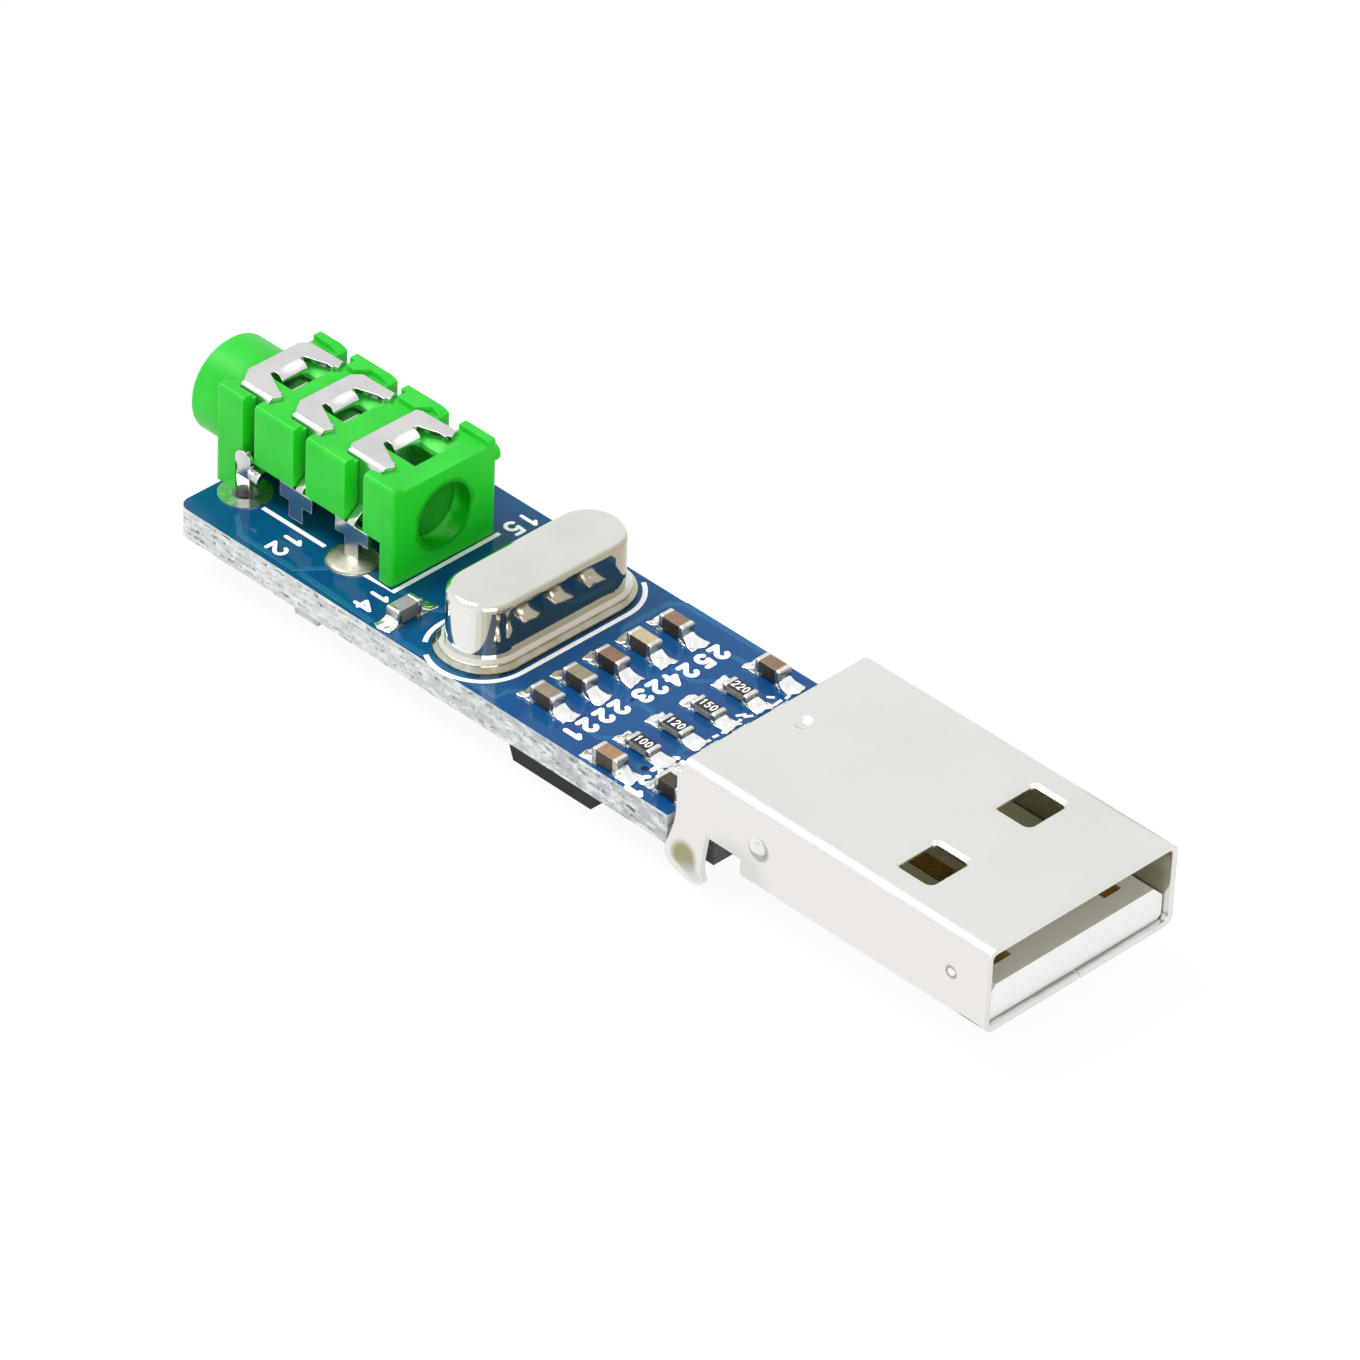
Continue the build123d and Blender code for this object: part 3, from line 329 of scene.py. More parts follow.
@dataclass(frozen=True)
class MetalFinish:
    """Bright metal with a cloudy tone, a fine grain, slightly uneven gloss and dark pits."""

    name: str
    tone: Tone
    shade: Tone
    gloss: tuple[float, float] = (0.18, 0.32)
    cloud: float = 0.5
    grain: float = 14.0
    grain_shape: Point = (1.0, 1.0, 1.0)
    depth: float = 0.001
    edge: float = 0.0
    pits: float = 0.0
    pit_scale: float = 4.5
    pit_tone: Tone = (70, 74, 76)
    sides: tuple[PaintedSideLight, ...] = ()
    marks: tuple[Mark, ...] = ()

    def make(self) -> bpy.types.Material:
        """Builds the material: tone and gloss follow clouds, and the grain is relief.

        Returns:
            The material.
        """
        graph = Graph(self.name)
        clouds = graph.noise(self.cloud, detail=4.0)
        grain = graph.noise(self.grain, detail=2.0, at=graph.stretch(self.grain_shape))
        tone = graph.blend(graph.spread(clouds, low=0.35, high=0.7), paint(self.tone), paint(self.shade))
        if self.pits:
            spots = graph.noise(self.pit_scale, detail=4.0, roughness=0.6)
            tone = graph.blend(graph.spread(spots, low=0.64, high=0.7, end=self.pits), tone,
                               paint(self.pit_tone))
        mixed = graph.math("MULTIPLY", graph.math("ADD", clouds, grain), 0.5)
        low, high = self.gloss
        under = graph.round_edges(self.edge) if self.edge else None
        return graph.surface(Base_Color=graph.marked(tone, self.sides, self.marks), Metallic=1.0,
                             Roughness=graph.spread(mixed, low=0.35, high=0.65, start=low, end=high),
                             Normal=graph.relief(grain, self.depth, under))


@dataclass(frozen=True)
class MouldedFinish:
    """Moulded plastic with soft depth, faint flow clouds and a fine skin."""

    name: str
    tone: Tone
    shade: Tone
    gloss: tuple[float, float] = (0.3, 0.42)
    flow: float = 0.35
    depth: float = 0.003
    skin: float = 9.0
    softness: float = 0.0
    soft_depth: float = 0.4
    specular: float = 0.25
    sides: tuple[PaintedSideLight, ...] = ()
    marks: tuple[Mark, ...] = ()

    def make(self) -> bpy.types.Material:
        """Builds the material: flow clouds tint it, and the skin is relief.

        Returns:
            The material.
        """
        graph = Graph(self.name)
        clouds = graph.noise(self.flow)
        skin = graph.noise(self.skin)
        low, high = self.gloss
        tone = graph.blend(graph.spread(clouds, low=0.3, high=0.7), paint(self.tone), paint(self.shade))
        return graph.surface(Base_Color=graph.marked(tone, self.sides, self.marks),
                             Roughness=graph.spread(skin, low=0.3, high=0.7, start=low, end=high),
                             Normal=graph.relief(skin, self.depth), Subsurface_Weight=self.softness,
                             Subsurface_Radius=(1.0, 1.0, 1.0), Subsurface_Scale=self.soft_depth * MM,
                             Specular_IOR_Level=self.specular)


@dataclass(frozen=True)
class CeramicFinish:
    """Fired ceramic: a matt, finely speckled body, with painted shade that makes its sides darker than its
    top.
    """

    name: str
    tone: Tone
    shade: Tone
    # Painted shade for the faces that do not look up.
    side: Tone
    mottle: float = 3.0
    speckle: float = 18.0
    gloss: tuple[float, float] = (0.42, 0.62)
    depth: float = 0.006
    specular: float = 0.3

    def make(self) -> bpy.types.Material:
        """Builds the material: two sizes of speckle shift the tone, and the finer is relief.

        Returns:
            The material.
        """
        graph = Graph(self.name)
        coarse = graph.noise(self.mottle, detail=4.0, roughness=0.6)
        fine = graph.noise(self.speckle, detail=2.0)
        both = graph.math("MULTIPLY", graph.math("ADD", coarse, fine), 0.5)
        tone = graph.blend(graph.spread(both, low=0.38, high=0.62), paint(self.tone), paint(self.shade))
        # Painted shade: faces that do not look up blend to the darker side tone.
        flat = graph.math("ABSOLUTE", graph.facing("Z"))
        tone = graph.blend(graph.spread(flat, low=0.8, high=0.3), tone, paint(self.side))
        low, high = self.gloss
        return graph.surface(Base_Color=tone, Normal=graph.relief(fine, self.depth),
                             Roughness=graph.spread(fine, low=0.3, high=0.7, start=low, end=high),
                             Specular_IOR_Level=self.specular)


@dataclass(frozen=True)
class BoardFinish:
    """The board: a glossy blue mask on both faces and a cut edge of glass cloth in resin."""

    name: str = "board_laminate_finish"
    # Ends of a painted sheen: the mask shifts from teal to a brighter blue along X, as light falls across
    # the board.
    jack_end_painted_sheen: Tone = (4, 79, 111)
    plug_end_painted_sheen: Tone = (18, 75, 127)
    cloud_tone: Tone = (16, 60, 120)
    lifted_tone: Tone = (60, 150, 196)
    edge_light: Tone = (206, 208, 208)
    edge_worn: Tone = (158, 164, 166)
    edge_dark: Tone = (56, 62, 66)
    edge_speck: Tone = (132, 140, 142)
    plug_shade: Mark = Mark((10.8, -4.9, 2.4), (1.3, 1.4, 1.3), (52, 54, 52), 0.9)
    x_jack: float = -16.0
    x_plug: float = 2.0
    x_soiled: float = 6.0
    yarn_length: float = 1.15
    yarn_pitch: float = 0.36
    yarn_gap: float = 0.12
    yarn_wander: float = 0.35
    face_limit: float = 0.6
    gloss: tuple[float, float] = (0.07, 0.13)
    edge_matt: float = 0.5
    depth: float = 0.004
    specular: float = 0.2
    lift: float = 0.0

    def mask(self, graph: Graph) -> bpy.types.NodeSocket:
        """Gives the mask's colour, with a painted sheen that shifts it from teal at the jack end to a
        brighter blue at the plug end, and clouds a little.

        Args:
            graph: The material's nodes.

        Returns:
            The colour, paler where the mask is lifted over a track.
        """
        along = graph.spread(graph.axis("X"), self.x_jack, self.x_plug)
        base = graph.blend(along, paint(self.jack_end_painted_sheen), paint(self.plug_end_painted_sheen))
        clouds = graph.spread(graph.noise(0.5, detail=4.0, roughness=0.6), low=0.4, high=0.7, end=0.6)
        tone = graph.blend(clouds, base, paint(self.cloud_tone))
        return graph.blend(self.lift, tone, paint(self.lifted_tone))

    def cloth(self, graph: Graph) -> bpy.types.NodeSocket:
        """Gives the cut edge's colour.

        Rows of dark dashes are where the yarns end. Noise shifts the rows and breaks the dashes,
        coarse clouds soil the resin, more so toward the plug, and fine specks pit it.

        Args:
            graph: The material's nodes.

        Returns:
            The colour.
        """
        drift = graph.noise(0.9, at=graph.stretch((1.0, 1.0, 0.3)))
        rows = graph.math("ADD", graph.axis("Z"), graph.math("MULTIPLY", drift, self.yarn_wander))
        along = graph.math("ADD", graph.axis("X"), graph.axis("Y"))
        flat = graph.node("ShaderNodeCombineXYZ", {"X": along, "Y": rows}).outputs[0]
        bricks = graph.node("ShaderNodeTexBrick", {
            "Vector": flat, "Color1": (0.0, 0.0, 0.0, 1.0), "Color2": (0.3, 0.3, 0.3, 1.0),
            "Mortar": (1.0, 1.0, 1.0, 1.0), "Scale": 1.0, "Mortar Size": self.yarn_gap,
            "Mortar Smooth": 0.5, "Brick Width": self.yarn_length,
            "Row Height": self.yarn_pitch}, offset=0.45)
        fray = graph.noise(2.2, detail=5.0, roughness=0.75, at=graph.stretch((0.8, 0.8, 2.0)))
        dark = graph.math("MULTIPLY", graph.math("SUBTRACT", 1.0, bricks.outputs["Color"]),
                          graph.spread(fray, low=0.5, high=0.6, end=0.85))
        grime = graph.noise(2.0, detail=6.0, roughness=0.75, at=graph.stretch((0.6, 0.6, 1.4)))
        soil = graph.spread(grime, low=0.38, high=0.56)
        ahead = graph.spread(graph.axis("X"), self.x_jack, self.x_soiled, start=0.6, end=1.0)
        resin = graph.blend(graph.math("MULTIPLY", soil, ahead), paint(self.edge_light),
                            paint(self.edge_worn))
        specks = graph.spread(graph.noise(9.0), low=0.64, high=0.7, end=0.7)
        resin = graph.blend(specks, resin, paint(self.edge_speck))
        return graph.blend(dark, resin, paint(self.edge_dark))

    def make(self) -> bpy.types.Material:
        """Builds the material: the faces get the mask and the sides the cut cloth.

        Returns:
            The material.
        """
        graph = Graph(self.name)
        flatness = graph.math("ABSOLUTE", graph.facing("Z"))
        is_face = graph.math("GREATER_THAN", flatness, self.face_limit)
        colour = graph.blend(is_face, self.cloth(graph), self.mask(graph))
        fine = graph.noise(1.6)
        low, high = self.gloss
        gloss = graph.spread(fine, low=0.3, high=0.7, start=low, end=high)
        matt = graph.math("MULTIPLY", graph.math("SUBTRACT", 1.0, is_face), self.edge_matt)
        return graph.surface(Base_Color=graph.marked(colour, marks=(self.plug_shade,)),
                             Roughness=graph.math("ADD", gloss, matt),
                             Specular_IOR_Level=self.specular, Normal=graph.relief(fine, self.depth))


@dataclass(frozen=True)
class GlazeFinish:
    """A small resistor: black glass on its top, pale ceramic on its sides."""

    name: str = "resistor_glaze_finish"
    glass: Tone = (26, 26, 28)
    worn: Tone = (44, 43, 42)
    body: Tone = (150, 150, 144)
    body_shade: Tone = (118, 120, 116)
    mottle: float = 5.0
    top_limit: float = 0.7
    gloss: tuple[float, float] = (0.28, 0.5)
    depth: float = 0.01
    specular: float = 0.25

    def make(self) -> bpy.types.Material:
        """Builds the material: what faces up is glass, and the rest is ceramic.

        Returns:
            The material.
        """
        graph = Graph(self.name)
        is_top = graph.math("GREATER_THAN", graph.facing("Z"), self.top_limit)
        mottle = graph.noise(self.mottle, detail=4.0, roughness=0.6)
        share = graph.spread(mottle, low=0.3, high=0.7)
        glass = graph.blend(share, paint(self.glass), paint(self.worn))
        body = graph.blend(share, paint(self.body), paint(self.body_shade))
        low, high = self.gloss
        return graph.surface(Base_Color=graph.blend(is_top, body, glass),
                             Roughness=graph.spread(mottle, low=0.3, high=0.7, start=low, end=high),
                             Normal=graph.relief(mottle, self.depth), Specular_IOR_Level=self.specular)


@dataclass(frozen=True)
class InkFinish:
    """Screen print: matt ink with thin places."""

    name: str = "white_ink"
    tone: Tone = (250, 251, 252)
    thin: Tone = (214, 226, 236)
    patch: float = 5.0
    matt: float = 0.55
    depth: float = 0.006
    specular: float = 0.3

    def make(self) -> bpy.types.Material:
        """Builds the material: thin places let a little of the mask's tone through.

        Returns:
            The material.
        """
        graph = Graph(self.name)
        patches = graph.noise(self.patch, detail=5.0, roughness=0.65)
        tone = graph.blend(graph.spread(patches, low=0.55, high=0.75), paint(self.tone), paint(self.thin))
        return graph.surface(Base_Color=tone, Roughness=self.matt, Specular_IOR_Level=self.specular,
                             Normal=graph.relief(patches, self.depth))


class Shape:
    """Vertices and faces gathered from several surfaces into one mesh."""

    merge_distance: float = 1e-7

    def __init__(self) -> None:
        """Starts an empty shape."""
        self.points: list[np.ndarray] = []
        self.faces: list[list[int]] = []
        self.count = 0

    def add(self, points: np.ndarray, faces: list[list[int]]) -> None:
        """Adds one surface.

        Args:
            points: Vertices as rows of x, y and z, in millimetres.
            faces: Vertex numbers of each face, counted from the first of these points.
        """
        flat = points.reshape(-1, 3)
        self.points.append(flat)
        self.faces += [[index + self.count for index in face] for face in faces]
        self.count += len(flat)

    def build(self, name: str, finish: bpy.types.Material, slot: str, smooth: bool = True,
              crisp: bool = False) -> bpy.types.Object:
        """Makes the object, at the origin, with its doubles merged and its faces outwards.

        Args:
            name: The piece's name.
            finish: Its material.
            slot: A material slot of the record; not used.
            smooth: Whether its faces are shaded smooth.
            crisp: Whether flat faces keep flat shading beside their rounded edges.

        Returns:
            The new object, riding on the part.
        """
        mesh = bpy.data.meshes.new(name)
        mesh.from_pydata((np.vstack(self.points) * MM).tolist(), [], self.faces)
        work = bmesh.new()
        work.from_mesh(mesh)
        bmesh.ops.remove_doubles(work, verts=work.verts, dist=self.merge_distance)
        bmesh.ops.recalc_face_normals(work, faces=work.faces)
        work.to_mesh(mesh)
        work.free()
        mesh.polygons.foreach_set("use_smooth", np.full(len(mesh.polygons), smooth))
        mesh.materials.append(finish)
        piece = bpy.data.objects.new(name, mesh)
        bpy.context.scene.collection.objects.link(piece)
        if crisp:
            piece.modifiers.new("weighted", "WEIGHTED_NORMAL")
        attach(piece, BODY)
        log.info("%s: %d faces", name, len(mesh.polygons))
        return piece


def quads(rows: int, columns: int, close_columns: bool = False) -> list[list[int]]:
    """Numbers the four corners of each cell of a grid of vertices.

    Args:
        rows: Vertices down the grid.
        columns: Vertices along each row.
        close_columns: Whether the last column joins the first.

    Returns:
        The corner numbers of each cell.
    """
    across = columns if close_columns else columns - 1
    i, j = np.meshgrid(np.arange(rows - 1), np.arange(across), indexing="ij")
    k = (j + 1) % columns
    cells = np.stack([i * columns + j, (i + 1) * columns + j, (i + 1) * columns + k, i * columns + k], -1)
    return cells.reshape(-1, 4).tolist()


def closed_sheet(top: np.ndarray, bottom: np.ndarray) -> Surface:
    """Closes the space between two grids of the same plan with a wall round the rim.

    The wall joins each vertex on the rim of the top grid to the one below it.

    Args:
        top: Upper grid, rows by columns by three.
        bottom: Lower grid of the same shape.

    Returns:
        The vertices and faces of the closed shape.
    """
    rows, columns = top.shape[:2]
    total = rows * columns
    upper = quads(rows, columns)
    lower = [[index + total for index in reversed(face)] for face in upper]
    number = np.arange(total).reshape(rows, columns)
    rim = np.concatenate([number[0, :-1], number[:-1, -1], number[-1, :0:-1], number[:0:-1, 0]])
    ahead = np.roll(rim, -1)
    wall = np.stack([rim, ahead, ahead + total, rim + total], -1).tolist()
    return np.vstack([top.reshape(-1, 3), bottom.reshape(-1, 3)]), upper + lower + wall


def rounded_box(middle: np.ndarray, half: np.ndarray, radius: float, steps: int = 4) -> Surface:
    """Works out a block with round edges.

    Each point is a corner of the block shrunk by the radius, plus the radius times a direction
    that sweeps the eighth of a sphere at that corner, so edges are arcs and faces stay flat.

    Args:
        middle: The block's middle, in millimetres.
        half: Half its lengths.
        radius: The radius of its edges.
        steps: Points along each quarter arc.

    Returns:
        The vertices and faces, closed at top and bottom.
    """
    quarter = np.linspace(0, math.pi / 2, steps)
    turn = np.concatenate([quarter + k * math.pi / 2 for k in range(4)])
    tilt = np.concatenate([quarter, quarter + math.pi / 2])
    tilt_grid, turn_grid = np.meshgrid(tilt, turn, indexing="ij")
    way = np.stack([np.sin(tilt_grid) * np.cos(turn_grid), np.sin(tilt_grid) * np.sin(turn_grid),
                    np.cos(tilt_grid)], -1)
    corner = np.empty_like(way)
    corner[..., 0] = np.repeat([1, -1, -1, 1], steps)[None, :]
    corner[..., 1] = np.repeat([1, 1, -1, -1], steps)[None, :]
    corner[..., 2] = np.repeat([1, -1], steps)[:, None]
    points = middle + corner * (half - radius) + radius * way
    columns = 4 * steps
    faces = quads(2 * steps, columns, close_columns=True)
    last = (2 * steps - 1) * columns
    faces.append([k * steps for k in range(4)])
    faces.append([last + k * steps for k in reversed(range(4))])
    return points, faces


def stroke(path: np.ndarray, width: float, low: float, high: float) -> Surface:
    """Lays a thin raised line along a flat path.

    Each point of the path gives two rim points, half the width to each side along the path's
    normal, which is the mean of the normals of the runs that meet there.

    Args:
        path: Points of x and y, in millimetres.
        width: Width of the line.
        low: Level of its underside.
        high: Level of its top.

    Returns:
        The vertices and faces of the closed line.
    """
    way = np.gradient(path, axis=0)
    way = way / np.linalg.norm(way, axis=1, keepdims=True)
    side = np.stack([-way[:, 1], way[:, 0]], -1) * width / 2
    rims = np.stack([path - side, path + side], 1)
    top = np.concatenate([rims, np.full((*rims.shape[:2], 1), high)], -1)
    bottom = np.concatenate([rims, np.full((*rims.shape[:2], 1), low)], -1)
    return closed_sheet(top, bottom)


def disc(middle: np.ndarray | Spot, radius: float, low: float, high: float, sides: int = 20,
         hole: float = 0.0) -> Surface:
    """Works out a flat round plate, or a ring if it has a hole.

    The rim points stand at even angles, at the radius and at the hole's radius.

    Args:
        middle: Its middle as x and y, in millimetres.
        radius: Its radius.
        low: Level of its underside.
        high: Level of its top.
        sides: Points round its rim.
        hole: Radius of its hole, or 0 for none.

    Returns:
        The vertices and faces of the closed plate.
    """
    angle = np.linspace(0, 2 * math.pi, sides, endpoint=False)
    way = np.stack([np.cos(angle), np.sin(angle)], -1)
    rings = []
    for reach, level in ((radius, low), (radius, high), (hole, high), (hole, low)):
        flat = np.asarray(middle) + reach * way
        rings.append(np.concatenate([flat, np.full((sides, 1), level)], -1))
    if hole:
        return np.stack([*rings, rings[0]]), quads(5, sides, close_columns=True)
    faces = quads(2, sides, close_columns=True)
    faces += [list(range(sides, 2 * sides)), list(reversed(range(sides)))]
    return np.stack(rings[:2]), faces


def arc(x: float, y: float, width: float, height: float, start: float, end: float,
        steps: int = 15) -> np.ndarray:
    """Gives points along an oval arc, from one angle in degrees to another."""
    angle = np.radians(np.linspace(start, end, steps))
    return np.stack([x + width * np.cos(angle), y + height * np.sin(angle)], -1)


NUMERALS = {
    "0": (arc(0.5, 0.5, 0.5, 0.5, 90, 450),),
    "1": (np.array([(0.2, 0.78), (0.55, 1.0)]), np.array([(0.55, 1.0), (0.55, 0.0)])),
    "2": (arc(0.5, 0.7, 0.5, 0.3, 165, -38), np.array([(0.9, 0.52), (0.0, 0.0)]),
          np.array([(0.0, 0.0), (1.0, 0.0)])),
    "3": (arc(0.45, 0.76, 0.47, 0.24, 150, -85), arc(0.45, 0.27, 0.55, 0.27, 90, -150)),
    "4": (np.array([(0.75, 0.0), (0.75, 1.0)]), np.array([(0.75, 1.0), (0.0, 0.34)]),
          np.array([(0.0, 0.34), (1.0, 0.34)])),
    "5": (np.array([(0.95, 1.0), (0.12, 1.0)]), np.array([(0.12, 1.0), (0.06, 0.54)]),
          arc(0.45, 0.32, 0.52, 0.32, 135, -145)),
}


@dataclass(frozen=True)
class Label:
    """A plain number, drawn with round strokes that lie a hair above one another."""

    number: str
    x: float
    y: float
    turn: float = -90.0
    height: float = 1.12
    width: float = 0.76
    pitch: float = 0.97
    pen: float = 0.26
    step: float = 0.001
    end_sides: int = 14

    def draw(self, shape: Shape, low: float, high: float) -> None:
        """Adds the number's strokes to a shape, each with round ends.

        A stroke's points are shares of the number's inner width and height, laid from its lower
        left corner along directions that are turned about Z.

        Args:
            shape: The shape that takes them.
            low: Level of their underside.
            high: Level of their top.
        """
        angle = math.radians(self.turn)
        right = np.array([math.cos(angle), math.sin(angle)])
        up = np.array([-math.sin(angle), math.cos(angle)])
        inner = np.array([self.width - self.pen, self.height - self.pen])
        for place, symbol in enumerate(self.number):
            shift = (place - (len(self.number) - 1) / 2) * self.pitch
            start = np.array([self.x, self.y]) + right * (shift - inner[0] / 2) - up * inner[1] / 2
            level = high
            for line in NUMERALS[symbol]:
                path = start + line[:, :1] * inner[0] * right + line[:, 1:] * inner[1] * up
                shape.add(*stroke(path, self.pen, low, level))
                for spot, above in ((path[0], self.step), (path[-1], 2 * self.step)):
                    shape.add(*disc(spot, self.pen / 2, low, level + above, sides=self.end_sides))
                level += 3 * self.step


@dataclass(frozen=True)
class Lamp:
    """A square soft lamp that looks at the part, with its place and edge in metres."""

    name: str
    spot: Point
    edge: float
    power: float

    def hang(self) -> None:
        """Adds the lamp to the scene."""
        data = bpy.data.lights.new(self.name, "AREA")
        data.size = self.edge
        data.energy = self.power
        lamp = bpy.data.objects.new(self.name, data)
        lamp.location = self.spot
        lamp.rotation_euler = Vector(self.spot).to_track_quat("Z", "Y").to_euler()
        bpy.context.scene.collection.objects.link(lamp)


@dataclass
class Studio:
    """Camera, lamps, world and floor."""

    azimuth: float = 43.705
    elevation: float = 36.197
    roll: float = 2.509
    distance: float = 435.187
    target: Point = (0.061, 2.622, 2.40)
    focal_pixels: float = 9572.62
    picture: int = 1360
    sensor: float = 36.0
    nearest: float = 0.01
    farthest: float = 20.0
    open_light: float = 0.62
    floor_glow: float = 0.93
    floor_white: float = 0.93
    floor_reach: float = 1.5
    lamps: tuple[Lamp, ...] = (Lamp("key_lamp", (-0.35, -0.2, 0.75), 0.5, 6.0),
                               Lamp("fill_lamp", (0.65, -0.35, 0.35), 0.5, 3.6))

    def camera(self) -> None:
        """Sets the camera where the photograph was taken from."""
        a = math.radians(self.azimuth)
        e = math.radians(self.elevation)
        r = math.radians(self.roll)
        back = Vector((math.sin(a) * math.cos(e), -math.cos(a) * math.cos(e), math.sin(e)))
        flat = Vector((math.cos(a), math.sin(a), 0.0))
        upright = back.cross(flat)
        right = flat * math.cos(r) + upright * math.sin(r)
        up = upright * math.cos(r) - flat * math.sin(r)
        data = bpy.data.cameras.new("camera")
        data.sensor_width = self.sensor
        data.lens = self.sensor * self.focal_pixels / self.picture
        data.clip_start = self.nearest
        data.clip_end = self.farthest
        camera = bpy.data.objects.new("camera", data)
        bpy.context.scene.collection.objects.link(camera)
        turn = Matrix((right, up, back)).transposed().to_4x4()
        spot = (Vector(self.target) + back * self.distance) * MM
        camera.matrix_world = Matrix.Translation(spot) @ turn
        bpy.context.scene.camera = camera

    def seen(self, tree: bpy.types.NodeTree) -> bpy.types.NodeSocket:
        """Tells the rays that see the studio itself from those that light the part.

        Args:
            tree: The nodes that the answer is for.

        Returns:
            1 for rays of the camera, of gloss and of glass, and 0 for the rest.
        """
        rays = tree.nodes.new("ShaderNodeLightPath")
        share = rays.outputs["Is Camera Ray"]
        for kind in ("Is Glossy Ray", "Is Transmission Ray"):
            either = tree.nodes.new("ShaderNodeMath")
            either.operation = "MAXIMUM"
            tree.links.new(share, either.inputs[0])
            tree.links.new(rays.outputs[kind], either.inputs[1])
            share = either.outputs[0]
        return share

    def world(self) -> None:
        """Lights all round softly, and shows white to the camera, gloss and glass."""
        world = bpy.data.worlds.new("studio")
        world.use_nodes = True
        tree = world.node_tree
        ground = tree.nodes["Background"]
        level = tree.nodes.new("ShaderNodeMapRange")
        level.inputs["To Min"].default_value = self.open_light
        tree.links.new(self.seen(tree), level.inputs["Value"])
        tree.links.new(level.outputs[0], ground.inputs["Strength"])
        ground.inputs["Color"].default_value = (1.0, 1.0, 1.0, 1.0)
        bpy.context.scene.world = world

    def floor_finish(self) -> bpy.types.Material:
        """Makes the floor's material, a matt white that glows for the rays that see it.

        Returns:
            The material.
        """
        material = bpy.data.materials.new("floor_white")
        material.use_nodes = True
        tree = material.node_tree
        tree.nodes.remove(tree.nodes["Principled BSDF"])
        share = tree.nodes.new("ShaderNodeMath")
        share.operation = "MULTIPLY"
        share.inputs[1].default_value = self.floor_glow
        matt = tree.nodes.new("ShaderNodeBsdfDiffuse")
        matt.inputs["Color"].default_value = (*(self.floor_white,) * 3, 1.0)
        glow = tree.nodes.new("ShaderNodeEmission")
        both = tree.nodes.new("ShaderNodeMixShader")
        tree.links.new(self.seen(tree), share.inputs[0])
        for number, source in enumerate((share, matt, glow)):
            tree.links.new(source.outputs[0], both.inputs[number])
        tree.links.new(both.outputs[0], tree.nodes["Material Output"].inputs[0])
        return material

    def floor(self) -> None:
        """Lays the white floor, which keeps a faint soft shadow of the part."""
        reach = self.floor_reach
        corners = [(-reach, -reach, 0), (reach, -reach, 0), (reach, reach, 0), (-reach, reach, 0)]
        mesh = bpy.data.meshes.new("floor")
        mesh.from_pydata(corners, [], [(0, 1, 2, 3)])
        mesh.materials.append(self.floor_finish())
        plane = bpy.data.objects.new("floor", mesh)
        bpy.context.scene.collection.objects.link(plane)

    def build(self) -> None:
        """Sets up the whole studio."""
        bpy.context.scene.view_settings.view_transform = "Standard"
        self.camera()
        self.world()
        self.floor()
        for lamp in self.lamps:
            lamp.hang()


def dress(node: str, finish: bpy.types.Material) -> None:
    """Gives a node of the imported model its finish."""
    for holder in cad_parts[node].material_slots:
        holder.material = finish


LABELS = (
    Label("25", 0.78, 3.9), Label("24", 0.84, 1.87), Label("23", 0.8, -0.07), Label("22", 0.74, -2.42),
    Label("21", 0.76, -4.43), Label("31", 5.64, -5.39), Label("52", 5.52, -3.42),
    Label("12", -18.6, -4.52, pen=0.2), Label("14", -12.7, -4.6, pen=0.2), Label("15", -12.5, 4.7, pen=0.2),
)

JACK_PRINT = (
    ((-21.45, -3.29), (-17.28, -3.27)),
    ((-14.46, -3.44), (-12.58, -3.41), (-12.65, 3.44)),
)

PLUG_PRINT = (
    ((5.18, -1.5), (5.16, -1.2)), ((5.2, -0.95), (5.22, -0.62)), ((5.16, -0.42), (5.2, -0.1)),
    ((5.2, 0.1), (5.24, 0.6)), ((5.18, 0.95), (5.05, 1.5)), ((5.0, 1.7), (5.22, 2.1)),
    ((5.3, 3.2), (5.24, 3.9)), ((5.3, 4.1), (5.22, 4.5), (5.3, 5.1)),
    ((4.7, 1.5), (4.95, 1.95)), ((4.62, 3.55), (4.9, 3.8)),
)

UPPER_TRACKS = (
    ((0.2, -4.2), (1.7, -4.2), (2.5, -3.4), (2.9, -3.4)),
    ((0.79, -1.05), (1.9, -1.05), (2.2, -1.34), (2.9, -1.34)),
    ((0.2, 1.95), (1.5, 1.95), (2.3, 2.78), (2.9, 2.78)),
    ((0.2, 4.0), (1.2, 4.6), (2.9, 4.85)),
    ((-3.0, 1.95), (-3.5, 2.4), (-3.5, 5.4), (-2.9, 5.9), (2.4, 5.9), (2.9, 5.2)),
    ((-3.0, -4.2), (-3.6, -4.8), (-3.6, -5.5), (-9.6, -5.75), (-10.8, -5.2)),
    ((-10.8, -3.4), (-9.7, -2.4), (-9.7, 2.6), (-10.5, 3.6)),
    ((-14.4, -3.05), (-11.8, -3.05), (-11.2, -3.6)),
    ((-16.6, -5.5), (-13.9, -5.6), (-11.6, -5.7)),
    ((-21.8, -4.6), (-20.6, -5.5), (-16.9, -5.5), (-15.9, -4.2)),
    ((4.4, -1.34), (5.0, -2.0), (4.9, -2.6), (5.7, -2.2)),
)

LOWER_TRACKS = (
    ((-22.9, 3.0), (-20.5, 5.2), (-8.0, 5.2), (-4.3, 4.0)),
    ((-19.4, 3.0), (-17.6, 1.2), (-8.6, 1.2), (-4.3, 1.6)),
    ((-15.6, -3.0), (-11.5, -1.6), (-4.3, -1.6)),
    ((-6.7, -2.4), (-5.6, -3.5), (-4.3, -3.5)),
    ((-14.9, -5.3), (-9.0, -5.3), (-4.3, -4.4)),
    ((3.4, -3.0), (5.6, -3.5), (8.0, -3.5)),
    ((3.4, -0.4), (5.6, -1.0), (8.0, -1.0)),
    ((3.4, 0.6), (5.6, 1.0), (8.0, 1.0)),
    ((3.4, 3.2), (5.6, 3.5), (8.0, 3.5)),
)


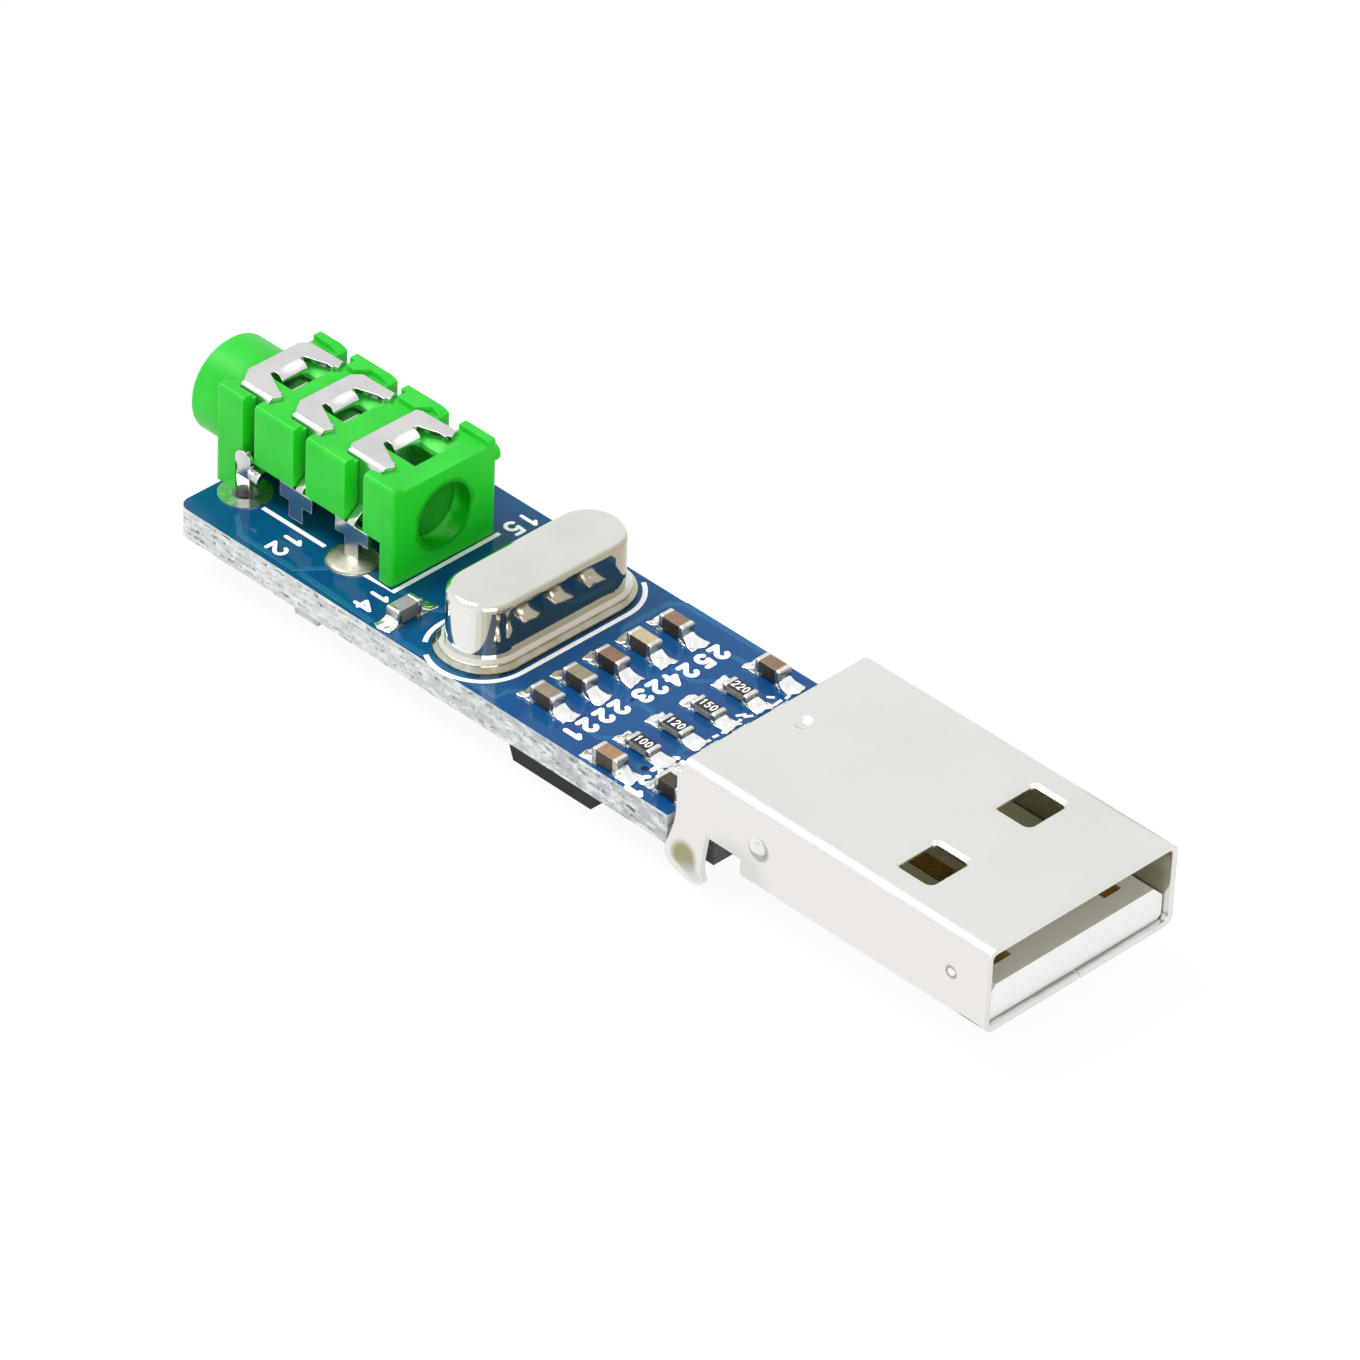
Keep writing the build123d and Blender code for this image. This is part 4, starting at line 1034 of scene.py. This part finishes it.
@dataclass
class Board:
    """The circuit board with its pads, print, covered tracks and small vias."""

    ink_width: float = 0.24
    dash_width: float = 0.16
    ink_rise: float = 0.02
    track_width: float = 0.3
    track_rise: float = 0.008
    sunk: float = 0.01
    crystal_gap: float = 0.28
    crystal_spare: float = 0.1
    bend_steps: int = 25
    near_opening: tuple[int, int] = (17, 19)
    far_opening: tuple[int, int] = (12, 16)
    vias: Run = ((0.79, -1.05), (4.76, -4.31))
    via_radius: float = 0.42
    via_hole: float = 0.2
    via_rise: float = 0.012
    fill_rise: float = 0.004
    tinned: MetalFinish = MetalFinish("tinned_pad", (226, 230, 224), (188, 196, 182), gloss=(0.2, 0.4),
                                      cloud=1.2, depth=0.008, grain=3.0)
    covered: BoardFinish = BoardFinish(name="covered_track", lift=0.16)
    ring: BoardFinish = BoardFinish(name="via_ring", lift=0.1)
    fill: MouldedFinish = MouldedFinish("via_fill", (6, 22, 84), (4, 16, 66), specular=0.2)

    def __post_init__(self) -> None:
        """Finds the levels of the board's faces and makes the ink."""
        low, high = corners_of("pcb")
        self.bottom, self.top = float(low[2]), float(high[2])
        self.print_levels = (self.top - self.sunk, self.top + self.ink_rise)
        self.ink = InkFinish().make()

    def lines(self, name: str, runs: tuple[Run, ...], width: float, levels: tuple[float, float],
              finish: bpy.types.Material) -> None:
        """Lays straight runs of a thin line as one piece.

        Args:
            name: The piece's name.
            runs: The runs, each a list of places on the board.
            width: Width of the line.
            levels: Levels of its underside and its top.
            finish: Its material.
        """
        shape = Shape()
        for run in runs:
            shape.add(*stroke(np.array(run), width, *levels))
        shape.build(name, finish, BOARD_SLOT, smooth=False)

    def crystal_print(self) -> None:
        """Prints the round-ended outline round the crystal, open at two places.

        Each end is a half circle about a middle that lies one run away along Y, and straight sides
        join the two.
        """
        base = middle_of("crystal_base")
        half = size_of("crystal_base") / 2
        reach = half[0] + self.crystal_gap
        run = half[1] - half[0] + self.crystal_spare
        bend = np.linspace(0, math.pi, self.bend_steps)
        near = np.stack([base[0] + reach * np.cos(bend), base[1] - run - reach * np.sin(bend)], -1)
        far = np.stack([base[0] - reach * np.cos(bend), base[1] + run + reach * np.sin(bend)], -1)
        near_end, near_start = self.near_opening
        far_end, far_start = self.far_opening
        shape = Shape()
        for first, second in ((far[far_start:], near[:near_end]), (near[near_start:], far[:far_end])):
            shape.add(*stroke(np.vstack([first, second]), self.ink_width, *self.print_levels))
        shape.build("crystal_print", self.ink, BOARD_SLOT, smooth=False)

    def numbers(self) -> None:
        """Prints a plain number beside each part."""
        shape = Shape()
        for label in LABELS:
            label.draw(shape, *self.print_levels)
        shape.build("number_print", self.ink, BOARD_SLOT, smooth=False)

    def tracks(self) -> None:
        """Raises the mask where covered tracks run, on both faces."""
        covered = self.covered.make()
        self.lines("upper_tracks", UPPER_TRACKS, self.track_width,
                   (self.top - self.sunk, self.top + self.track_rise), covered)
        self.lines("lower_tracks", LOWER_TRACKS, self.track_width,
                   (self.bottom - self.track_rise, self.bottom + self.sunk), covered)

    def small_vias(self) -> None:
        """Sets a covered ring with a dark filled hole at each via."""
        ring = self.ring.make()
        dark = self.fill.make()
        low = self.top - self.sunk
        rings, fills = Shape(), Shape()
        for spot in self.vias:
            rings.add(*disc(spot, self.via_radius, low, self.top + self.via_rise, hole=self.via_hole))
            fills.add(*disc(spot, self.via_hole, low, self.top + self.fill_rise))
        rings.build("via_rings", ring, BOARD_SLOT, smooth=False)
        fills.build("via_fills", dark, BOARD_SLOT, smooth=False)

    def build(self) -> None:
        """Dresses the board and lays what is printed on it."""
        dress("pcb", BoardFinish().make())
        tinned = self.tinned.make()
        dress("pads_top", tinned)
        dress("pads_bottom", tinned)
        self.lines("jack_print", JACK_PRINT, self.ink_width, self.print_levels, self.ink)
        self.lines("plug_print", PLUG_PRINT, self.dash_width, self.print_levels, self.ink)
        self.crystal_print()
        self.numbers()
        self.tracks()
        self.small_vias()


@dataclass
class AudioJack:
    """The green jack and its three folded contacts.

    Marks paint shade into the rear hole, light into the windows on top and a highlight on the lip of each
    contact; the end faces get painted light as another green.
    """

    green: Tone = (48, 192, 54)
    deep_green: Tone = (40, 181, 47)
    # Painted light on both end faces, a purer green than the sides.
    end_face_painted_light: Tone = (22, 189, 28)
    # Painted light that brightens the inside of the windows.
    window_painted_light: Tone = (96, 240, 100)
    # Painted shade deep in the rear hole.
    rear_hole_painted_shade: Mark = Mark((-11.5, 0.0, 6.1), (4.0, 1.95, 1.95), (6, 150, 12), soft=0.06)
    windows: tuple[float, ...] = (-22.7, -19.2, -14.9)
    window_level: float = 7.0
    window_reach: Point = (1.1, 1.9, 1.5)
    # Painted highlight on the rolled lip of each contact, at these places along X.
    lip_highlights: tuple[float, ...] = (-23.4, -19.95, -15.75)
    lip_level: float = 8.4
    lip_reach: Point = (0.3, 1.1, 0.6)
    lip_painted_highlight: Tone = (252, 252, 250)
    off_middle: float = 0.4

    def moulding(self) -> bpy.types.Material:
        """Makes the green of the moulding, with painted light on its ends and in its windows and painted
        shade in its hole.

        Returns:
            The material.
        """
        # Painted light in each window and on both end faces, and painted shade in the rear hole.
        window_light_marks = tuple(Mark((x, self.off_middle, self.window_level), self.window_reach, self.window_painted_light, 0.8)
                     for x in self.windows)
        ends = tuple(PaintedSideLight("X", sign, self.end_face_painted_light, start=0.7, end=0.95) for sign in (-1.0, 1.0))
        return MouldedFinish("jack_green", self.green, self.deep_green, softness=0.25, specular=0.2,
                             marks=(self.rear_hole_painted_shade, *window_light_marks), sides=ends).make()

    def plate(self) -> bpy.types.Material:
        """Makes the tin of the contacts, with a painted highlight on the lip of each.

        Returns:
            The material.
        """
        # Painted highlight on the lip of each contact.
        lip_highlights = tuple(Mark((x, self.off_middle, self.lip_level), self.lip_reach, self.lip_painted_highlight, soft=0.2)
                     for x in self.lip_highlights)
        return MetalFinish("contact_tin", (219, 218, 216), (206, 206, 208), gloss=(0.16, 0.22),
                           cloud=0.5, grain=8.0, grain_shape=(0.3, 1.5, 1.0), depth=0.0006,
                           edge=0.05, marks=lip_highlights).make()

    def build(self) -> None:
        """Dresses the moulding and the contacts."""
        dress("jack_housing", self.moulding())
        plate = self.plate()
        for place in ("front", "middle", "rear"):
            dress(f"jack_contact_{place}", plate)


@dataclass
class Crystal:
    """The crystal in its drawn can."""

    # Painted light: the can's face toward -Y is lighter, a painted reflection of the floor, and its face
    # toward +X is darker and browner, a painted reflection.
    can: MetalFinish = MetalFinish("drawn_can", (224, 224, 218), (217, 217, 211), gloss=(0.05, 0.09),
                                   cloud=0.3, grain=7.0, depth=0.0003,
                                   sides=(PaintedSideLight("Y", -1.0, (234, 233, 229)),
                                          PaintedSideLight("X", 1.0, (176, 168, 146))))
    # Painted reflection: the base's face toward +X is darker.
    base: MetalFinish = MetalFinish("base_nickel", (214, 211, 198), (172, 168, 150), gloss=(0.05, 0.12),
                                    cloud=0.9, depth=0.0008, sides=(PaintedSideLight("X", 1.0, (150, 144, 122)),))
    leads: MetalFinish = MetalFinish("wire_tin", (205, 205, 202), (180, 180, 178))

    def build(self) -> None:
        """Dresses the can, its base and its wires."""
        dress("crystal_can", self.can.make())
        dress("crystal_base", self.base.make())
        dress("crystal_leads", self.leads.make())


@dataclass
class Plug:
    """The plug: folded shell, white moulding and four gold contacts.

    Marks on the shell are a painted reflection on the bulge of its near leg, a greyer patch low on that leg,
    painted shade beside it, painted shade on the lip and far wall of its mouth, and painted shade and
    highlights in its dimple hollows. The mark on the moulding is painted shade that darkens what shows
    through the windows.
    """

    # Painted reflection on the leg's bulge, a greyer patch low on the leg, and painted shade in the notch
    # beside it.
    leg_painted_reflection_and_shade: tuple[Mark, ...] = (Mark((9.25, -6.15, 2.0), (0.75, 0.6, 0.8), (160, 156, 118), 0.95, 0.3),
                                 Mark((9.6, -6.1, 1.3), (0.6, 0.6, 0.6), (196, 196, 188), 0.6, 0.4),
                                 Mark((12.3, -6.1, 3.2), (1.6, 0.6, 1.0), (206, 204, 198), 0.5, 0.5))
    # Painted shade on the lower lip and the far inner wall of the mouth.
    mouth: tuple[Mark, ...] = (Mark((26.5, 0.0, 2.72), (0.8, 12.0, 0.1), (150, 148, 136), 0.9, 0.1),
                               Mark((24.4, 5.66, 4.2), (2.7, 0.12, 8.0), (200, 198, 182), 0.9, 0.1))
    # Painted shade round each dimple's rim and a painted highlight inside it.
    dimple_painted_shade_and_highlight: tuple[Mark, ...] = (Mark((13.52, -6.0, 4.72), (0.62, 0.6, 0.62), (178, 175, 170), 0.9, 0.12),
                                 Mark((13.42, -6.0, 4.83), (0.5, 0.6, 0.5), (238, 236, 233), 1.0, 0.1),
                                 Mark((25.3, -6.0, 4.7), (0.34, 0.6, 0.34), (150, 146, 136), 0.8, 0.2),
                                 Mark((25.3, -6.0, 4.7), (0.2, 0.6, 0.2), (246, 244, 240), 1.0, 0.2))
    # Painted shade on the moulding deep inside the shell, where it shows through the windows.
    inside: Mark = Mark((17.4, 0.0, 5.0), (7.2, 12.0, 6.0), (186, 182, 144), 0.9, 0.15)
    gold: MetalFinish = MetalFinish("contact_gold", (222, 188, 110), (196, 158, 84), gloss=(0.18, 0.3))

    def build(self) -> None:
        """Dresses the plug's pieces."""
        dress("usb_shell", MetalFinish("shell_nickel", (228, 228, 224), (223, 222, 217),
                                       gloss=(0.2, 0.28), cloud=0.15, grain=6.0,
                                       grain_shape=(0.15, 2.0, 2.0), depth=0.0002, edge=0.06,
                                       # Painted light: the side facing -Y is lighter, and painted shade
                                       # darkens the rear face, facing -X.
                                       sides=(PaintedSideLight("Y", -1.0, (234, 231, 228)),
                                              PaintedSideLight("X", -1.0, (168, 166, 160), 0.8, 0.95)),
                                       marks=(*self.leg_painted_reflection_and_shade, *self.mouth, *self.dimple_painted_shade_and_highlight)).make())
        dress("usb_insulator", MouldedFinish("white_moulding", (237, 239, 235), (231, 233, 229),
                                             softness=0.2, marks=(self.inside,),
                                             # Painted shade: the moulding's top and its front, facing +X,
                                             # are darker.
                                             sides=(PaintedSideLight("Z", 1.0, (202, 198, 184)),
                                                    PaintedSideLight("X", 1.0, (212, 215, 212)))).make())
        gold = self.gold.make()
        for number in PLUG_CONTACTS:
            dress(f"usb_pin_{number}", gold)


class Ceramic(Enum):
    """Body tones of the small parts: a main tone, its speckle and the painted shade of its sides."""

    BROWN = ((136, 110, 88), (116, 92, 74), (52, 46, 40))
    BEIGE = ((184, 172, 136), (166, 154, 120), (62, 56, 44))
    RED_BROWN = ((130, 102, 84), (112, 86, 70), (46, 40, 35))
    OLIVE = ((140, 134, 108), (122, 116, 92), (54, 52, 40))
    TAUPE = ((144, 134, 114), (126, 116, 98), (58, 54, 46))
    TAN = ((156, 126, 98), (138, 110, 84), (62, 54, 45))
    GREY = ((150, 152, 150), (128, 130, 130), (84, 86, 86))
    PALE = ((206, 208, 206), (190, 192, 190), (186, 190, 190))
    DARK = ((74, 62, 52), (60, 50, 42), (36, 32, 28))


BODY_TONES = (Ceramic.TAUPE, Ceramic.OLIVE, Ceramic.RED_BROWN, Ceramic.BEIGE, Ceramic.BROWN,
              Ceramic.BROWN, Ceramic.TAN, Ceramic.GREY, Ceramic.BROWN, Ceramic.DARK)
VALUES = ("100", "120", "150", "220")
CAPACITORS = [f"capacitor_{number}" for number in range(1, len(BODY_TONES) + 1)]
RESISTORS = [f"resistor_{number}" for number in range(1, len(VALUES) + 1)]


@dataclass
class ChipParts:
    """The small two-ended parts on the board."""

    body_edge: float = 0.07
    body_tuck: float = 0.1
    end_edge: float = 0.12
    end_length: float = 0.34
    value_height: float = 0.5
    value_width: float = 0.27
    value_pitch: float = 0.33
    value_pen: float = 0.075
    value_sunk: float = 0.005
    value_rise: float = 0.006
    plated: MetalFinish = MetalFinish("plated_end", (232, 232, 228), (206, 206, 202), gloss=(0.2, 0.42),
                                      cloud=2.0, grain=12.0, depth=0.006,
                                      # Painted shade: the ends' faces toward +X and toward -Y are darker.
                                      sides=(PaintedSideLight("X", 1.0, (150, 152, 150)),
                                             PaintedSideLight("Y", -1.0, (186, 188, 184))))

    def body(self, part: str, finish: bpy.types.Material, slot: str) -> None:
        """Makes a small part's body with softly worn edges, where its plain block stands.

        Args:
            part: The part's name.
            finish: The body's material.
            slot: The body's material slot.
        """
        node = f"{part}_body"
        half = size_of(node) / 2
        half[long_axis(node)] += self.body_tuck
        shape = Shape()
        shape.add(*rounded_box(middle_of(node), half, self.body_edge))
        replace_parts(shape.build(f"{node}_form", finish, slot, crisp=True), node)

    def ends(self, part: str, finish: bpy.types.Material) -> None:
        """Makes a small part's two plated ends, rounded by their plating.

        Args:
            part: The part's name.
            finish: The ends' material.
        """
        node = f"{part}_ends"
        low, high = corners_of(node)
        run = long_axis(node)
        shape = Shape()
        for first, last in ((low[run], low[run] + self.end_length),
                            (high[run] - self.end_length, high[run])):
            start, end = low.copy(), high.copy()
            start[run], end[run] = first, last
            shape.add(*rounded_box((start + end) / 2, (end - start) / 2, self.end_edge))
        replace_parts(shape.build(f"{node}_form", finish, "end_metal", crisp=True), node)

    def values(self) -> None:
        """Prints a plain number on the glass of each resistor."""
        shape = Shape()
        for part, value in zip(RESISTORS, VALUES):
            x, y = middle_of(f"{part}_body")[:2].tolist()
            top = float(corners_of(f"{part}_body")[1][2])
            label = Label(value, x, y, turn=0.0, height=self.value_height, width=self.value_width,
                          pitch=self.value_pitch, pen=self.value_pen)
            label.draw(shape, top - self.value_sunk, top + self.value_rise)
        shape.build("resistor_print", InkFinish(name="value_ink").make(), "resistor_glaze", smooth=False)

    def build(self) -> None:
        """Builds every small part."""
        plated = self.plated.make()
        tones = {tone: CeramicFinish(f"ceramic_{tone.name.lower()}", *tone.value).make()
                 for tone in dict.fromkeys((*BODY_TONES, Ceramic.PALE))}
        for part, tone in zip(CAPACITORS, BODY_TONES):
            self.body(part, tones[tone], "capacitor_ceramic")
            self.ends(part, plated)
        glaze = GlazeFinish().make()
        for part in RESISTORS:
            self.body(part, glaze, "resistor_glaze")
            self.ends(part, plated)
        self.values()
        self.body("under_part", tones[Ceramic.PALE], "under_part_ceramic")
        self.ends("under_part", plated)


@dataclass
class SoundChip:
    """The chip under the board and its leads."""

    epoxy: MouldedFinish = MouldedFinish("chip_epoxy", (22, 31, 33), (17, 25, 27), gloss=(0.42, 0.58),
                                         skin=16.0, depth=0.008, specular=0.18)
    leads: MetalFinish = MetalFinish("lead_tin", (208, 208, 205), (180, 182, 182))

    def build(self) -> None:
        """Dresses the moulded body and the leads."""
        dress("chip_body", self.epoxy.make())
        dress("chip_leads", self.leads.make())


def fillet(end: np.ndarray, way: np.ndarray, width: float, reach: float, rise: float, lean: float,
           sink: float = 0.06, thickness: float = 0.05, rows: int = 22, columns: int = 19) -> Surface:
    """Works out one blob of solder that falls from a part's end onto its pad.

    Across the blob v runs from -1 to 1, and along it u runs from 0 at the end to 1 at its tip.
    The tip's distance wavers with v as a sum of sines, and so does the width with u. The height
    is the rise times a steep fall in u plus a slow one, times a round profile in v, with a few
    low swells on top.

    Args:
        end: Foot of the part's end face as x, y and z, in millimetres.
        way: Direction away from the part, as x, y and z.
        width: Width of the blob.
        reach: How far it runs out.
        rise: How far it climbs, below zero for the underside of the board.
        lean: A number that shifts the sines, so that no two blobs are alike.
        sink: How far it starts inside the part's end.
        thickness: How far it reaches into its pad.
        rows: Rows of points from the end to the tip.
        columns: Points across it.

    Returns:
        The vertices and faces of the closed blob.
    """
    u, v = np.meshgrid(np.linspace(0, 1, rows), np.linspace(-1, 1, columns), indexing="ij")
    tip = reach * (1 - 0.06 * np.abs(v) ** 3 + 0.08 * np.sin(2.6 * v + lean)
                   + 0.04 * np.sin(6.3 * v + 2 * lean))
    out = -sink + u * (tip + sink)
    half = width / 2 * (0.86 + 0.2 * u + 0.05 * np.sin(4.2 * u + 1.7 * lean))
    side = np.cross((0, 0, 1), way)
    fall = 0.72 * np.exp(-u * reach / 0.2) + 0.16 * (1 - u) + 0.05
    swell = 0.035 * np.sin(5.1 * u + 3 * v + lean) * np.sin(4 * v + 2.3 * lean) * u * (1 - u) * 4
    high = np.clip(fall * np.sqrt(np.clip(1 - np.abs(v) ** 4, 0, 1)) * abs(rise) + swell, 0.03, None)
    flat = end + out[..., None] * way + (v * half)[..., None] * side
    lift = np.sign(rise) * np.array([0.0, 0.0, 1.0])
    return closed_sheet(flat + high[..., None] * lift, flat - thickness * lift)


@dataclass(frozen=True)
class Heap:
    """A round heap of solder about a pin: radii of foot and top, height, and hollow of its flank."""

    foot: float
    tip: float
    rise: float
    power: float

    def surface(self, x: float, y: float, z: float, lean: float, rings: int = 16,
                sides: int = 40) -> Surface:
        """Works out the heap.

        The radius falls from the foot to the tip while the height climbs as a power of the share
        of the way, which makes the flank hollow above 1 and domed below it. The rise is below zero
        for a heap that hangs. Two sines of the angle make the foot slightly uneven.

        Args:
            x: Middle of its foot along the board, in millimetres.
            y: Middle of its foot across the board.
            z: Level of its foot.
            lean: A number that shifts the sines.
            rings: Rows of points from foot to tip.
            sides: Points round it.

        Returns:
            The vertices and faces of the closed heap.
        """
        share, angle = np.meshgrid(np.linspace(0, 1, rings),
                                   np.linspace(0, 2 * math.pi, sides, endpoint=False), indexing="ij")
        waver = 1 + (1 - share) * (0.03 * np.sin(3 * angle + lean) + 0.02 * np.sin(5 * angle + 2 * lean))
        radius = (self.foot + (self.tip - self.foot) * share) * waver
        height = share ** self.power * self.rise
        points = np.stack([x + radius * np.cos(angle), y + radius * np.sin(angle), z + height], -1)
        faces = quads(rings, sides, close_columns=True)
        faces += [list(range(sides)), list(range((rings - 1) * sides, rings * sides))]
        return points, faces


@dataclass
class SolderWork:
    """Solder on both faces of the board."""

    width: float = 1.0
    reach: float = 0.84
    rear_share: float = 0.8
    climb: float = 0.6
    rim: float = 0.12
    lean_step: float = 1.3
    under_lean: float = 2.1
    crowded_part: str = "capacitor_10"
    crowded_reach: float = 0.3
    foot_width: float = 0.95
    foot_reach: float = 1.05
    foot_rise: float = 0.5
    foot_lean_step: float = 0.9
    near_leg: Spot = (-15.63, -3.05)
    far_legs: Run = ((-22.9, 3.05), (-19.37, 3.05))
    dome_level: float = 3.5
    dome_lean: float = 0.7
    pad_lap: float = 0.02
    wire_inset: float = 0.2
    dome: Heap = Heap(foot=1.26, tip=0.1, rise=0.3, power=0.5)
    leg_cone: Heap = Heap(foot=1.2, tip=0.5, rise=-0.9, power=1.7)
    wire_cone: Heap = Heap(foot=0.64, tip=0.26, rise=-0.8, power=1.7)
    bright: MetalFinish = MetalFinish("solder_bright", (252, 253, 252), (232, 234, 234), gloss=(0.1, 0.26),
                                      cloud=1.6, grain=3.0, depth=0.008, pits=0.9)
    matt: MetalFinish = MetalFinish("rear_leg_solder", (178, 177, 164), (150, 147, 132),
                                    gloss=(0.46, 0.6), cloud=1.1, grain=5.0, depth=0.006, pits=0.3)

    def part_fillets(self, shape: Shape, part: str, lean: float, under: bool = False) -> None:
        """Adds the two fillets of a small part, as long as the board and its neighbour leave room.

        Args:
            shape: The shape that takes them.
            part: The part's name.
            lean: A number that makes them differ from others.
            under: Whether the part hangs under the board.
        """
        node = f"{part}_ends"
        low, high = corners_of(node)
        run = long_axis(node)
        level = high[2] if under else low[2]
        height = (high[2] - low[2]) * (-1 if under else 1)
        for side in (-1, 1):
            end = (low + high) / 2
            end[run] = high[run] if side > 0 else low[run]
            end[2] = level
            way = np.zeros(3)
            way[run] = side
            reach = self.reach * (1 if side > 0 else self.rear_share)
            if run:
                reach = min(reach, cad_box[1][1] / MM - self.rim - abs(end[1]))
            if part == self.crowded_part and side < 0:
                reach = self.crowded_reach
            shape.add(*fillet(end, way, self.width, reach, self.climb * height, lean + side))

    def top(self, finish: bpy.types.Material) -> None:
        """Builds the solder on the top face.

        Args:
            finish: The bright solder's material.
        """
        shape = Shape()
        for number, part in enumerate(CAPACITORS + RESISTORS):
            self.part_fillets(shape, part, self.lean_step * number)
        pad_level = corners_of("pads_top")[1][2]
        for number in PLUG_CONTACTS:
            low, high = corners_of(f"usb_pin_{number}")
            foot = np.array([low[0], (low[1] + high[1]) / 2, pad_level])
            shape.add(*fillet(foot, np.array([-1.0, 0.0, 0.0]), self.foot_width, self.foot_reach,
                              self.foot_rise, self.foot_lean_step * number))
        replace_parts(shape.build("solder_top_form", finish, "solder"), "solder_top")
        dome = Shape()
        dome.add(*self.dome.surface(*self.near_leg, self.dome_level, self.dome_lean))
        dome.build("rear_leg_dome", self.matt.make(), "solder")

    def bottom(self, finish: bpy.types.Material) -> None:
        """Builds the solder under the board: a hollow cone round each pin, and two fillets.

        Args:
            finish: The bright solder's material.
        """
        shape = Shape()
        level = float(corners_of("pads_bottom")[0][2]) + self.pad_lap
        for number, spot in enumerate((self.near_leg, *self.far_legs)):
            shape.add(*self.leg_cone.surface(*spot, level, lean=number))
        low, high = corners_of("crystal_leads")
        for y in (low[1], high[1]):
            inner = y - math.copysign(self.wire_inset, y)
            shape.add(*self.wire_cone.surface((low[0] + high[0]) / 2, inner, level, lean=y))
        self.part_fillets(shape, "under_part", self.under_lean, under=True)
        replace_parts(shape.build("solder_bottom_form", finish, "solder"), "solder_bottom")

    def build(self) -> None:
        """Builds all the solder."""
        solder = self.bright.make()
        self.top(solder)
        self.bottom(solder)


def main() -> None:
    """Builds the studio and every sub-assembly."""
    logging.basicConfig(level=logging.INFO, format="%(message)s")
    for assembly in (Studio(), Board(), AudioJack(), Crystal(), Plug(), ChipParts(), SoundChip(),
                     SolderWork()):
        assembly.build()
        log.info("%s done", type(assembly).__name__)


if __name__ == "__main__":
    main()
